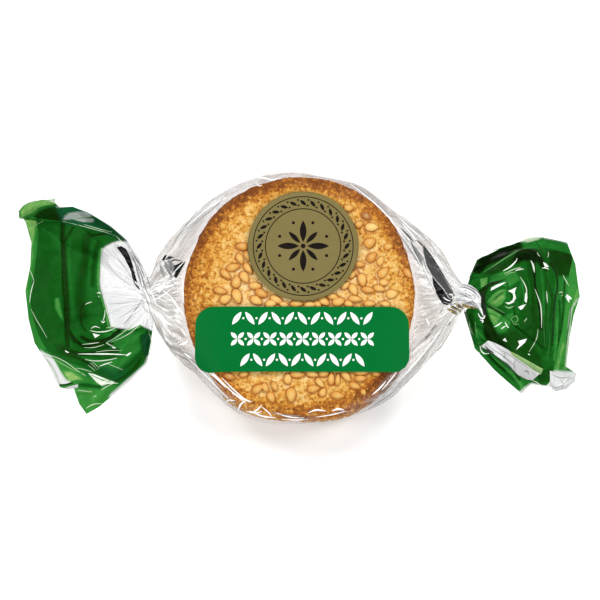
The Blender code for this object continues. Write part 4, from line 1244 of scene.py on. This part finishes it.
def seed_marks(x, y, seeds):
    """The brown line round a seed, partly toasting and partly a painted shadow shifted to its near left,
    and how far the crumb is pressed flat under one, 0 to 1.
    """
    line = 0.0
    pressed = 0.0
    for seed_x, seed_y, heading, half_length, half_width, _ in seeds:
        dx = x - seed_x + SEED_MARK_SHIFT
        dy = y - seed_y + SEED_MARK_SHIFT
        if abs(dx) > SEED_MARK_REACH or abs(dy) > SEED_MARK_REACH:
            continue
        along = (dx * math.cos(heading) + dy * math.sin(heading)) / half_length
        across = (dy * math.cos(heading) - dx * math.sin(heading)) / half_width
        reach = math.hypot(along, across)
        line = max(line, 1.0 - abs(reach - SEED_LINE) / SEED_LINE_WIDTH)
        pressed = max(pressed, ease((PRESSED_REACH - reach) / (PRESSED_REACH - 1.0)))
    return line, pressed


def quarter_turn(out, height, radius, start, steps):
    """A quarter of a circle, turning down from this angle, as distances out and heights."""
    turns = [start - math.pi / 2.0 * step / steps for step in range(steps + 1)]
    return [(out + radius * math.cos(turn), height + radius * math.sin(turn)) for turn in turns]


def biscuit_profile():
    """The biscuit's section, from the middle of its top round its rim to the middle of its base."""
    top = BISCUIT_RADIUS - BISCUIT_TOP_EDGE
    base = BISCUIT_RADIUS - BISCUIT_BASE_EDGE
    profile = [(top * step / TOP_RINGS, BODY_HEIGHT) for step in range(TOP_RINGS)]
    profile += quarter_turn(top, BODY_HEIGHT - BISCUIT_TOP_EDGE, BISCUIT_TOP_EDGE, math.pi / 2.0, TOP_ARC)
    profile += quarter_turn(base, BISCUIT_BASE + BISCUIT_BASE_EDGE, BISCUIT_BASE_EDGE, 0.0, BASE_ARC)
    return profile + [(base * step / BASE_RINGS, BISCUIT_BASE) for step in reversed(range(BASE_RINGS))]


def from_middle(place):
    """A place's distance from the biscuit's middle, and its direction from there."""
    x = place[0]
    y = place[1] - BISCUIT_CENTRE_Y
    return math.hypot(x, y), math.atan2(y, x)


def crumb_depth(place, pressed):
    """How far the crumb stands out of the smooth biscuit, less where a seed has pressed it flat."""
    radius, turn = from_middle(place)
    rim = fade(radius, 25.0, 30.0)
    depth = 0.0
    for size, shift, height in ((9.0, 0.0, 0.252), (2.6, 9.0, 0.2), (0.95, 3.0, 0.119 + 0.136 * rim)):
        depth += noise.noise(place / (size * MM) + Vector((0.0, 0.0, shift))) * height
    uneven = 0.35 * wander(math.cos(turn) * 2.4, math.sin(turn) * 2.4, 7.0) * rim
    return (depth * (1.0 - 0.8 * pressed) - 0.08 * pressed + uneven) * MM


def browning(place):
    """How brown the crust is baked, 0 to 1: more towards the rim, most at the near right of it."""
    x, y, z = place
    radius, turn = from_middle(place)
    far = fade(y, -6.0, 18.0)
    left = fade(x, -12.0, -24.0)
    corner = hump(turn, -math.pi / 4.0, 0.5)
    rim_start = 27.4 - 0.9 * far
    brown = 0.13 + 0.08 * left + (0.1 + 0.14 * max(far, left)) * fade(radius, 17.0, 27.5)
    brown += 0.1 * wander(math.cos(turn) * 3.0, math.sin(turn) * 3.0, 1.5) * fade(radius, 25.0, 30.0)
    brown += 0.05 * fade(y, -16.0, -22.0)
    brown += (0.28 + 0.16 * far + 0.3 * corner) * fade(radius, rim_start, rim_start + 2.8)
    brown -= 0.16 * fade(z, 12.0, 8.0) * (1.0 - 0.8 * far) * (1.0 - corner)
    brown += 0.35 * fade(z, 4.0, 1.0)
    return min(max(brown, 0.0), 1.0)


def rim_reach(place):
    """How far the rim stands out beyond a true round: out low on the near side, in on the right."""
    x, y, z = place
    bulge = fade(y, -8.0, -20.0) * fade(z, 15.0, 11.0) * fade(z, 0.0, 4.0) * fade(x, -25.0, -17.0)
    out = (0.9 + 1.2 * fade(abs(x), 0.0, 14.0)) * MM * bulge
    return out - drawn_in(x, y) * fade(from_middle(place)[0], 15.0, 28.0)


def biscuit(seeds):
    """A turned disc with rounded edges, its top broken into crumb and pressed flat under the seeds."""
    bm = bmesh.new()
    verts = [bm.verts.new((radius, BISCUIT_CENTRE_Y, height)) for radius, height in biscuit_profile()]
    edges = [bm.edges.new(pair) for pair in zip(verts, verts[1:])]
    side = max(edges, key=lambda edge: edge.calc_length())
    bmesh.ops.subdivide_edges(bm, edges=[side], cuts=SIDE_CUTS)
    bmesh.ops.spin(
        bm, geom=bm.verts[:] + bm.edges[:], cent=(0.0, BISCUIT_CENTRE_Y, 0.0), axis=(0.0, 0.0, 1.0),
        angle=math.tau, steps=BISCUIT_STEPS, use_merge=True,
    )
    bmesh.ops.remove_doubles(bm, verts=bm.verts, dist=0.001 * MM)
    bmesh.ops.recalc_face_normals(bm, faces=bm.faces)
    bm.normal_update()
    browned = []
    # toasted: the brown line round each seed, partly toasting and partly painted shadow.
    toasted = []
    moves = []
    for vert in bm.verts:
        vert.co.y = BISCUIT_CENTRE_Y + (vert.co.y - BISCUIT_CENTRE_Y) * BISCUIT_STRETCH_Y
        on_top = vert.co.z > SEED_MARKS_FROM
        line, pressed = seed_marks(vert.co.x, vert.co.y, seeds) if on_top else (0.0, 0.0)
        moves.append(vert.normal * crumb_depth(vert.co, pressed))
        browned.append(browning(vert.co))
        toasted.append(line)
    for vert, move in zip(bm.verts, moves):
        x, y, z = vert.co
        out = Vector((x, y - BISCUIT_CENTRE_Y, 0.0)).normalized()
        move += out * rim_reach(vert.co)
        if z > PRESSED_FROM:
            move.z -= max(z - (film_top(x, y) - BISCUIT_GAP), 0.0)
        vert.co += move
        vert.co.z = max(vert.co.z, BISCUIT_FLOOR)
    obj = piece_from(bm, "biscuit", biscuit_crust(), "wrapped_biscuit")
    keep_values(obj, "browned", browned)
    keep_values(obj, "seed_toast_and_shadow_line", toasted)
    return obj


def sesame_seeds(seeds, crust):
    """Every seed as a flat drop with one narrow end, pressed into the crumb and leaning a little."""
    bm = bmesh.new()
    draw = random.Random(SEED_RANDOM)
    shades = bm.verts.layers.float.new("tone")
    heights = bm.verts.layers.float.new("height")
    for (column, row, *_), (_, _, heading, half_length, half_width, tone) in zip(SEEDS, seeds):
        spot = crust.point((column, row), 0.0)
        slope_x, slope_y = film_slope(spot.x, spot.y)
        made = bmesh.ops.create_uvsphere(bm, u_segments=16, v_segments=20, radius=1.0)["verts"]
        turn = Matrix.Rotation(math.atan(slope_y) + draw.uniform(-SEED_LEAN, SEED_LEAN), 3, "X")
        turn = turn @ Matrix.Rotation(-math.atan(slope_x) + draw.uniform(-SEED_LEAN, SEED_LEAN), 3, "Y")
        turn = turn @ Matrix.Rotation(heading, 3, "Z")
        middle = spot + Vector((0.0, 0.0, draw.uniform(*SEED_RISE)))
        for vert in made:
            across, up, along = vert.co
            narrow = 1.0 - SEED_TAPER * along - SEED_ROUNDING * along * along
            flat = math.copysign(abs(up) ** SEED_FLATNESS, up) * SEED_HEIGHT / 2.0
            vert.co = middle + turn @ Vector((along * half_length, across * half_width * narrow, flat))
            vert[shades] = tone
            vert[heights] = up
    piece_from(bm, "sesame_seeds", seed_skin(), "wrapped_biscuit")


def looseness(x, y, from_centre):
    """How slack and cloudy the film is: 0 over the biscuit, and less where it clings low beside it."""
    past_rim = from_centre + drawn_in(x, y) - CLOUD_FROM
    cling = fade(y, -22.0, -27.0) * fade(x, 22.0, 16.0) * fade(x, -19.0, -14.0)
    loose = ease(past_rim / CLOUD_WIDTH) * (1.0 - 0.7 * cling)
    if x < 0.0:
        loose *= 1.55 - 0.85 * fade(y, 3.0, 10.0) - 1.15 * fade(y, -17.0, -22.0)
    return loose


def film_shell(material):
    """A creased tube of clear film from the knot past one neck to the knot past the other."""
    bm = bmesh.new()
    bmesh.ops.create_cone(bm, cap_ends=True, segments=SHELL_POINTS, radius1=1.0, radius2=1.0, depth=2.0)
    lengthways = [edge for edge in bm.edges if abs(edge.verts[0].co.z - edge.verts[1].co.z) > 1.0]
    bmesh.ops.subdivide_edges(bm, edges=lengthways, cuts=SHELL_STATIONS - 1)
    middle = (LEFT_NECK[0] + RIGHT_NECK[0]) / 2.0
    half = (RIGHT_NECK[0] - LEFT_NECK[0]) / 2.0 + TIP_LENGTH
    loose = []
    streak = []
    sections = {}
    places = []
    for vert in bm.verts:
        along = vert.co.z
        turn = math.atan2(vert.co.y, vert.co.x)
        x = middle + half * (0.5 * along + 0.5 * math.sin(math.pi / 2.0 * along))
        key = round(along * SHELL_STATIONS * 4)
        if key not in sections:
            sections[key] = section(x)
        centre, height, half_width, half_height, power = sections[key]
        across = math.cos(turn) * SECTION_WARP
        up = math.sin(turn)
        size = (abs(across) ** power + abs(up) ** power) ** (-1.0 / power)
        from_centre = from_middle((x, centre + half_width * size * across))[0]
        gather = ease(toward_neck(x, PLEAT_START))
        slack = ease((from_centre - SLACK_FROM) / SLACK_WIDTH)
        side = Vector((math.cos(turn), math.sin(turn)))
        folds = math.cos(PLEAT_COUNT * turn + PLEAT_TWIST * x)
        fine = ridge(side.x * 3.2, side.y * 3.2, x / (16.0 * MM))
        finer = ridge(side.x * 8.0, side.y * 8.0, x / (9.0 * MM))
        y = centre + half_width * size * across
        lumps = wander(x / (4.5 * MM), y / (4.5 * MM), up)
        size *= 1.0 + gather * (PLEAT_DEPTH * folds + NECK_CREASES * fine + NECK_FINE_CREASES * finer)
        size += slack * (SLACK_LUMPS * lumps + SLACK_CREASES * fine)
        z = height + half_height * size * up
        y = centre + half_width * size * across
        if z > BODY_MIDDLE:
            taut = ease((TAUT_REACH - from_centre) / TAUT_WIDTH)
            z += FILM_LIFT * taut + SLACK_LIFT * (1.0 - taut) * (1.0 - gather)
        vert.co = (x, y, max(z, FILM_FLOOR))
        loose.append(looseness(x, y, from_centre))
        places.append((side.x * 2.4, side.y * 2.4, x / (26.0 * MM)))
        lines = ease((finer - 0.72) / 0.28) * 0.55 + ease((fine - 0.8) / 0.2) * 0.75
        streak.append(min(1.0, lines * slack * (0.55 + 0.6 * gather) + 0.22 * gather))
    obj = piece_from(bm, "film_wrap", material, "wrapped_biscuit")
    keep_values(obj, "loose", loose)
    keep_values(obj, "streak", streak)
    keep_vectors(obj, "sheet", places)
    obj.visible_shadow = False
    return obj


def drape_label(bm, lift):
    for vert in bm.verts:
        vert.co = over_film(vert.co.x, vert.co.y, lift)


def round_label(material):
    bm = bmesh.new()
    bmesh.ops.create_grid(bm, x_segments=48, y_segments=48, size=1.0)
    for vert in bm.verts:
        x, y, _ = vert.co
        vert.co.x = ROUND_LABEL_CENTRE[0] + ROUND_LABEL_RADIUS * x * math.sqrt(1.0 - y * y / 2.0)
        vert.co.y = ROUND_LABEL_CENTRE[1] + ROUND_LABEL_RADIUS * y * math.sqrt(1.0 - x * x / 2.0)
    drape_label(bm, LABEL_LIFT)
    add_wall(piece_from(bm, "gold_round_print", material, "round_label"), LABEL_THICKNESS)


def band_label(material):
    """A rectangle whose rows shorten to round its corners, with its lines closer to its edges."""
    bm = bmesh.new()
    bmesh.ops.create_grid(bm, x_segments=96, y_segments=48, size=1.0)
    for vert in bm.verts:
        across = math.sin(math.pi / 2.0 * vert.co.y) * BAND_HALF_WIDTH
        past_corner = max(abs(across) - (BAND_HALF_WIDTH - BAND_CORNER), 0.0)
        half = BAND_HALF_LENGTH - BAND_CORNER + math.sqrt(max(BAND_CORNER**2 - past_corner**2, 0.0))
        vert.co.x = BAND_LABEL_CENTRE[0] + math.sin(math.pi / 2.0 * vert.co.x) * half
        vert.co.y = BAND_LABEL_CENTRE[1] + across
    drape_label(bm, LABEL_LIFT)
    add_wall(piece_from(bm, "green_band_print", material, "band_label"), LABEL_THICKNESS)


def around(centre, reach, turn):
    """The point this far from a centre, in this direction."""
    return centre[0] + reach * math.cos(turn), centre[1] + reach * math.sin(turn)


def add_drop(bm, middle, length, width, heading, point=1.0):
    """A flat printed petal, sized in millimetres: a disc drawn out along its heading to two points."""
    made = bmesh.ops.create_circle(bm, cap_ends=True, segments=20, radius=1.0)["verts"]
    for vert in made:
        along = vert.co.x
        across = vert.co.y * (1.0 - abs(along) ** 2) ** (point / 2.0)
        along *= length * MM / 2.0
        across *= width * MM / 2.0
        vert.co.x = middle[0] + along * math.cos(heading) - across * math.sin(heading)
        vert.co.y = middle[1] + along * math.sin(heading) + across * math.cos(heading)


def add_dot(bm, middle, size, heading=0.0):
    add_drop(bm, middle, size, size, heading, point=0.0)


def add_ring(bm, centre, radius, width):
    """A flat printed ring, from a circle and its inset."""
    made = bmesh.ops.create_circle(bm, cap_ends=True, segments=96, radius=radius)["verts"]
    face = made[0].link_faces[0]
    bmesh.ops.translate(bm, verts=made, vec=(*centre, 0.0))
    bmesh.ops.inset_individual(bm, faces=[face], thickness=width)
    bmesh.ops.delete(bm, geom=[face], context="FACES")


def finish_print(bm, name, material):
    """Split the flat shapes, lay them on the label and give them a printed thickness."""
    bmesh.ops.triangulate(bm, faces=bm.faces)
    drape_label(bm, LABEL_LIFT + LABEL_THICKNESS + PRINT_GAP)
    add_wall(piece_from(bm, name, material, smooth=False), PRINT_THICKNESS)


def round_ornament(material):
    """A ring of small petals and dots round a plain flower."""
    bm = bmesh.new()
    centre = ROUND_LABEL_CENTRE
    for radius in RING_RADII:
        add_ring(bm, centre, radius, RING_LINE)
    for step in range(RING_PETALS):
        turn = math.tau * step / RING_PETALS
        between = turn + math.pi / RING_PETALS
        add_drop(bm, around(centre, RING_PETAL_REACH, turn), *RING_PETAL, turn + RING_PETAL_LEAN)
        for reach in RING_DOT_REACHES:
            add_dot(bm, around(centre, reach, between), RING_DOT, between)
    for step in range(ROSETTE_PETALS):
        turn = math.tau * step / ROSETTE_PETALS
        reach, length, width = ROSETTE_SHORT if step % 2 else ROSETTE_LONG
        add_drop(bm, around(centre, reach, turn), length, width, turn)
    add_dot(bm, centre, ROSETTE_HEART)
    for step in range(ROSETTE_PETALS):
        turn = math.tau * (step + 0.5) / ROSETTE_PETALS
        add_dot(bm, around(centre, ROSETTE_DOT_REACH, turn), ROSETTE_DOT)
    finish_print(bm, "gold_round_ornament", material)


def band_ornament(material):
    """Three rows of petals and dots: a plain repeating border."""
    bm = bmesh.new()
    for row, (offset, count, pitch) in enumerate(BAND_ROWS):
        for step in range(count):
            x = BAND_LABEL_CENTRE[0] + (step - (count - 1) / 2.0) * pitch
            y = BAND_LABEL_CENTRE[1] + offset
            if row == 1:
                for petal in range(FLOWER_PETALS):
                    heading = math.pi / 4.0 + math.tau / FLOWER_PETALS * petal
                    add_drop(bm, around((x, y), FLOWER_REACH, heading), *FLOWER_PETAL, heading)
            else:
                lean = LEAF_LEAN if (step + row) % 2 else -LEAF_LEAN
                add_drop(bm, (x, y), *LEAF, math.pi / 2.0 + lean)
            if step < count - 1:
                add_dot(bm, (x + pitch / 2.0, y), BAND_DOT)
    finish_print(bm, "green_band_ornament", material)


class Fan:
    """A pleated sheet that spreads from a neck's waist to its outer edge, as in the solids."""

    def __init__(self, side, neck, waist, edge, height):
        self.side = side
        self.neck = neck
        self.waist = waist
        self.edge = edge
        self.height = height

    def point(self, out, place):
        """The sheet at this share of the way out and this place along the edge, 0 to 1."""
        last = len(self.edge) - 1
        index = min(int(place * last), last - 1)
        share = place * last - index
        turn = WAIST_TURN * (1.0 - 2.0 * place)
        side = -1.0 if self.neck[0] < 0.0 else 1.0
        start_x = self.neck[0] + side * FAN_START * math.cos(turn)
        start_y = self.neck[1] + self.waist * math.sin(turn)
        tip_x, tip_y = (a + (b - a) * share for a, b in zip(self.edge[index], self.edge[index + 1]))
        height = max(NECK_HEIGHT + self.height(out, place), FAN_FLOOR)
        return start_x + (tip_x - start_x) * out, start_y + (tip_y - start_y) * out, height


def waves(place, height, count, shift):
    """A wave this high, with this many crests from 0 to 1."""
    return height * math.sin(math.tau * (count * place + shift))


def left_fan_height(out, place):
    """Height over the neck: ring folds, pleats, a corner that curls up and a tip that hangs."""
    rings = waves(out, 1.0, 2.1, 0.15) * ease(out * 3.0)
    pleats = waves(place, 1.5, 4.5, 0.1) * ease(out * 1.6)
    curl = 5.6 * hump(place, 0.34, 0.16) * ease((out - 0.62) / 0.38)
    hang = -2.6 * hump(place, 0.72, 0.3) * out
    return (0.6 * out + rings + pleats + curl + hang) * MM


def right_fan_height(out, place):
    """Height over the neck: a crumpled dome, with its lower corner turned up."""
    dome = 3.4 * math.sin(math.pi * min(out * 1.1, 1.0)) * math.sin(math.pi * place)
    rings = waves(out, 0.9, 2.4, 0.6) * ease(out * 3.0)
    pleats = waves(place, 1.3, 4.0, 0.35) * ease(out * 1.5)
    corner = 3.0 * hump(place, 0.66, 0.12) * ease((out - 0.6) / 0.4)
    return (-1.2 * out + dome + rings + pleats + corner) * MM


LEFT_FAN = Fan("left", LEFT_NECK, LEFT_WAIST, LEFT_FAN_EDGE, left_fan_height)
RIGHT_FAN = Fan("right", RIGHT_NECK, RIGHT_WAIST, RIGHT_FAN_EDGE, right_fan_height)


def grid_steps(bm, across, along):
    """Each grid point with its step across and its step along."""
    for vert in bm.verts:
        yield vert, round((vert.co.x + 1.0) / 2.0 * across), round((vert.co.y + 1.0) / 2.0 * along)


def crinkle(out, place, seed):
    """Small wrinkles that fan out from the neck."""
    spread = ease(out * 2.5)
    crease = ridge(place * SHEET_PLEATS + seed, out * 2.2, seed)
    fine = ridge(place * 24.0, out * 3.0 + seed, seed + 4.0)
    wave = wander(place * 6.0 + seed, out * 4.0, seed)
    near = ease(1.0 - out / 0.4)
    return (0.25 * wave * spread + 0.2 * crease * spread + 0.22 * fine * near) * MM


def finish_sheet(bm, fan, name, looks, pixels, places, material):
    """Make a sheet of green film: store what its material reads, and give it its thickness."""
    obj = piece_from(bm, f"fan_{fan.side}_{name}", material, f"fan_{fan.side}")
    for layer in ("tone", "white", "cool", "clear"):
        keep_values(obj, layer, marked(pixels, *looks.get(layer, (0.0,))))
    keep_vectors(obj, "sheet", places)
    obj.visible_shadow = False
    add_wall(obj, FILM_THICKNESS)
    return obj


def back_sheet(fan, looks, seed, material):
    """The whole fan, as wide as in the solids, with its folds standing out a little."""
    across = FAN_RINGS
    along = FAN_COLUMNS * (len(fan.edge) - 1)
    bm = bmesh.new()
    bmesh.ops.create_grid(bm, x_segments=across, y_segments=along, size=1.0)
    places = []
    for vert, ring, column in grid_steps(bm, across, along):
        out = ring / across
        place = column / along
        vert.co = fan.point(out, place)
        vert.co.z += crinkle(out, place, seed)
        places.append((place * SHEET_PLEATS, out * SHEET_RUN, seed))
    pixels = VIEW.pixels([vert.co for vert in bm.verts])
    for vert, rise in zip(bm.verts, creased(pixels, looks["tone"][2], BACK_FOLDS)):
        vert.co.z += rise
    return finish_sheet(bm, fan, "back", looks, pixels, places, material)


def ruled_sheet(fan, name, surface, inner, outer, lift, looks, seed, material, arch=0.0, size=(100, 340)):
    """Film spanned between two lines of the photograph, laid over what is under it."""
    across, along = size
    inner = along_path(inner, along)
    outer = along_path(outer, along)
    bm = bmesh.new()
    bmesh.ops.create_grid(bm, x_segments=across, y_segments=along, size=1.0)
    pixels = []
    places = []
    steps = []
    for vert, ring, column in grid_steps(bm, across, along):
        out = ring / across
        pixels.append(inner[column] * (1.0 - out) + outer[column] * out)
        places.append((column / along * SHEET_PLEATS, out * SHEET_RUN, seed))
        steps.append((vert, out, column / along))
    pixels = numpy.array(pixels)
    rises = creased(pixels, looks["tone"][2], FRONT_FOLDS)
    for (vert, out, place), pixel, rise in zip(steps, pixels, rises):
        puff = lift * (0.35 + 0.65 * ease(out * 3.0)) + arch * math.sin(math.pi * out)
        wrinkle = crinkle(out, place, seed) if arch == 0.0 else 0.0
        vert.co = surface.point(pixel, puff * MM + rise + wrinkle)
    bmesh.ops.smooth_vert(bm, verts=bm.verts, factor=0.5, use_axis_z=True)
    return finish_sheet(bm, fan, name, looks, pixels, places, material)


def strips(name, surface, strokes, shapes, node, material):
    """Sharp creases as narrow arched strips, and small gleaming facets, laid over the film."""
    bm = bmesh.new()
    edges = []
    greys = []
    for width, grey, *path in strokes:
        steps = STROKE_STEPS * len(path)
        line = along_path(path, steps)
        made = bmesh.ops.create_grid(bm, x_segments=steps, y_segments=4, size=1.0)["verts"]
        for vert in made:
            step = round((vert.co.x + 1.0) / 2.0 * steps)
            side = vert.co.y
            run = line[min(step + 1, steps)] - line[max(step - 1, 0)]
            run /= max(numpy.linalg.norm(run), TINY)
            narrow = math.sin(math.pi * min(max(step / steps, 0.02), 0.98)) ** 0.9
            pixel = line[step] + numpy.array((-run[1], run[0])) * (width / 2.0 * side * narrow)
            arch = width * PIXEL * STRIP_ARCH * (1.0 - side * side)
            vert.co = surface.point(pixel, STRIP_LIFT + arch)
            edges.append(1.0 - abs(side) * STRIP_FADE)
            greys.append(grey)
    for grey, *outline in shapes:
        known = len(bm.verts)
        corners = [bm.verts.new((column, row, 0.0)) for column, row in pairs(outline)]
        rim = [bm.edges.new(pair) for pair in zip(corners, corners[1:] + corners[:1])]
        bmesh.ops.contextual_create(bm, geom=rim)
        faces = list({face for corner in corners for face in corner.link_faces})
        split = bmesh.ops.triangulate(bm, faces=faces)
        bmesh.ops.subdivide_edges(bm, edges=split["edges"] + rim, cuts=4, use_grid_fill=True)
        bm.verts.ensure_lookup_table()
        for vert in bm.verts[known:]:
            vert.co = surface.point(vert.co.xy, STRIP_LIFT)
            edges.append(1.0)
            greys.append(grey)
    bmesh.ops.recalc_face_normals(bm, faces=bm.faces)
    obj = piece_from(bm, name, material, node)
    keep_values(obj, "edge", edges)
    keep_values(obj, "grey", greys)
    obj.visible_shadow = False
    add_wall(obj, FILM_THICKNESS)


def whiten(gleams):
    """Gleams, given by width and path, as strokes that are whiter the wider they are."""
    return tuple((width * GLEAM_WIDTH, min(0.6 + 0.2 * width, 1.0), *path) for width, *path in gleams)


def left_fan(film, gleam, shell):
    """Two layers of film, with a curled corner, a pale flap and its tail over them."""
    shared = {"cool": (0.0, LEFT_COOL_AREAS), "clear": (0.0, LEFT_CLEAR_AREAS)}
    back = {
        "tone": (0.5, LEFT_BACK_AREAS, LEFT_BACK_LINES),
        "white": (0.0, LEFT_BACK_WHITE_AREAS, LEFT_BACK_WHITES),
        **shared,
    }
    front = {
        "tone": (0.64, LEFT_FRONT_AREAS, LEFT_FRONT_LINES),
        "white": (0.0, (), LEFT_FRONT_WHITES),
        **shared,
    }
    curl = {"tone": (0.14, (), LEFT_CURL_LINES), "white": (0.0, (), LEFT_CURL_WHITES)}
    flap = {"tone": (0.3, (), ()), "white": (0.96,)}
    tail = {"tone": (0.34, (), LEFT_TAIL_LINES)}
    base = back_sheet(LEFT_FAN, back, 1.3, film)
    under = Surface(base)
    layers = [shell, base]
    for name, inner, outer, lift, looks, seed, arch, size in (
        ("front", LEFT_FRONT_INNER, LEFT_FRONT_OUTER, 1.1, front, 5.7, 0.0, (100, 340)),
        ("curl", LEFT_CURL_LOW, LEFT_CURL_TOP, 1.6, curl, 2.2, 1.0, (16, 60)),
        ("flap", LEFT_FLAP_LOW, LEFT_FLAP_TOP, 1.0, flap, 3.1, 0.2, (12, 50)),
        ("tail", LEFT_TAIL_LOW, LEFT_TAIL_TOP, 1.5, tail, 3.7, 0.4, (10, 30)),
    ):
        sheet = ruled_sheet(LEFT_FAN, name, under, inner, outer, lift, looks, seed, film, arch, size)
        layers.append(sheet)
    over = Surface(*layers)
    strips("fan_left_gleams", over, whiten(LEFT_GLEAMS) + LEFT_STREAKS, LEFT_PATCHES, "fan_left", gleam)
    return over


def right_fan(film, gleam, crease, shell):
    """Two layers of film, with a pale strip along the near side and a pale flap at the corner."""
    back = {
        "tone": (0.5, RIGHT_BACK_AREAS, RIGHT_BACK_LINES),
        "white": (0.0, RIGHT_BACK_WHITE_AREAS, RIGHT_BACK_WHITES),
    }
    front = {"tone": (0.61, RIGHT_FRONT_AREAS, RIGHT_FRONT_LINES)}
    base = back_sheet(RIGHT_FAN, back, 2.9, film)
    upper = ruled_sheet(
        RIGHT_FAN, "front", Surface(base), RIGHT_FRONT_INNER, RIGHT_FRONT_OUTER, 1.1, front, 8.1, film
    )
    layers = [shell, base, upper]
    for name, under, inner, outer, lift, tone, white, seed, arch, size in (
        ("strip", (base, upper), RIGHT_STRIP_LOW, RIGHT_STRIP_TOP, 0.5, 0.3, 0.93, 4.4, 0.3, (20, 100)),
        ("wedge", (base, upper), RIGHT_WEDGE_LOW, RIGHT_WEDGE_TOP, 0.35, 0.08, 0.1, 7.3, 0.15, (12, 60)),
        ("knot", (shell, base, upper), RIGHT_KNOT_LOW, RIGHT_KNOT_TOP, 0.5, 0.62, 0.97, 9.2, 0.7, (30, 60)),
        ("flap", (base,), RIGHT_FLAP_LOW, RIGHT_FLAP_TOP, 1.4, 0.2, 0.9, 6.1, 0.5, (14, 30)),
    ):
        looks = {"tone": (tone, (), ()), "white": (white,)}
        under = Surface(*under)
        sheet = ruled_sheet(RIGHT_FAN, name, under, inner, outer, lift, looks, seed, film, arch, size)
        layers.append(sheet)
    over = Surface(*layers)
    strips("fan_right_gleams", over, RIGHT_GLEAMS, RIGHT_PATCHES, "fan_right", gleam)
    strips("fan_right_creases", over, RIGHT_STREAKS, (), "fan_right", crease)
    return over


def make_floor():
    bm = bmesh.new()
    bmesh.ops.create_grid(bm, x_segments=2, y_segments=2, size=FLOOR_HALF)
    mesh_object(bm, "table", pale_floor(), smooth=False)


def sun(name, direction, strength, spread):
    light = bpy.data.lights.new(name, "SUN")
    light.energy = strength
    light.angle = math.radians(spread)
    add_object(name, light).rotation_euler = Vector(direction).to_track_quat("Z", "Y").to_euler()


def make_studio():
    """Even soft light from all round, low enough that level film mirrors only the dark room."""
    world = bpy.data.worlds.new("studio")
    world.use_nodes = True
    background = world.node_tree.nodes["Background"]
    background.inputs["Color"].default_value = (1.0, 1.0, 1.0, 1.0)
    background.inputs["Strength"].default_value = ROOM_LIGHT
    scene = bpy.context.scene
    scene.world = world
    scene.view_settings.view_transform = "Standard"
    for step in range(SUN_COUNT):
        turn = math.tau * (step + 0.5) / SUN_COUNT
        direction = (math.cos(turn) * SUN_LEAN, math.sin(turn) * SUN_LEAN, 1.0)
        strength = SUN_STRENGTH * (1.0 + SUN_SWING * math.sin(turn))
        sun(f"studio light {step}", direction, strength, SUN_SPREAD)


def make_camera():
    """The photograph's view: from above, a little from the near side."""
    data = bpy.data.cameras.new("camera")
    data.lens = LENS_MM
    data.sensor_width = SENSOR_MM
    data.clip_end = 10.0
    camera = add_object("camera", data)
    turned = Matrix((VIEW.right, VIEW.up, VIEW.back)).transposed().to_4x4()
    camera.matrix_world = Matrix.Translation(VIEW.eye) @ turned
    bpy.context.scene.camera = camera


def main():
    make_floor()
    make_studio()
    make_camera()
    seeds = lain_seeds()
    sesame_seeds(seeds, Surface(biscuit(seeds)))
    shell = film_shell(clear_film())
    round_label(satin_print("dull gold print", shown(133, 120, 73), shown(137, 124, 77), 0.5))
    band_label(satin_print("green band print", shown(2, 117, 50), shown(3, 120, 52), 0.42))
    round_ornament(satin_print("dark print", shown(26, 21, 18), shown(34, 28, 24), 0.45))
    band_ornament(satin_print("white print", (0.9, 0.9, 0.9, 1.0), (0.86, 0.87, 0.86, 1.0), 0.45))
    film = green_film()
    crease = crease_film("film crease", CREASE_TONES)
    gleam = crease_film("gleam on green film", GLEAM_TONES)
    left = left_fan(film, gleam, shell)
    right = right_fan(film, gleam, crease, shell)
    for name, surface, strokes, shapes, material in (
        ("film_shoulder_creases", Surface(shell), SHOULDER_STREAKS, SHOULDER_SHAPES, crease),
        ("film_left_knot", left, LEFT_KNOT_STREAKS, LEFT_KNOT_SHAPES, crease),
        ("film_right_knot", right, RIGHT_KNOT_STREAKS, (), crease),
        ("film_gold_edge", right, (), NECK_GOLD_SHAPES, gold_edge()),
    ):
        strips(name, surface, strokes, shapes, "wrapped_biscuit", material)


main()
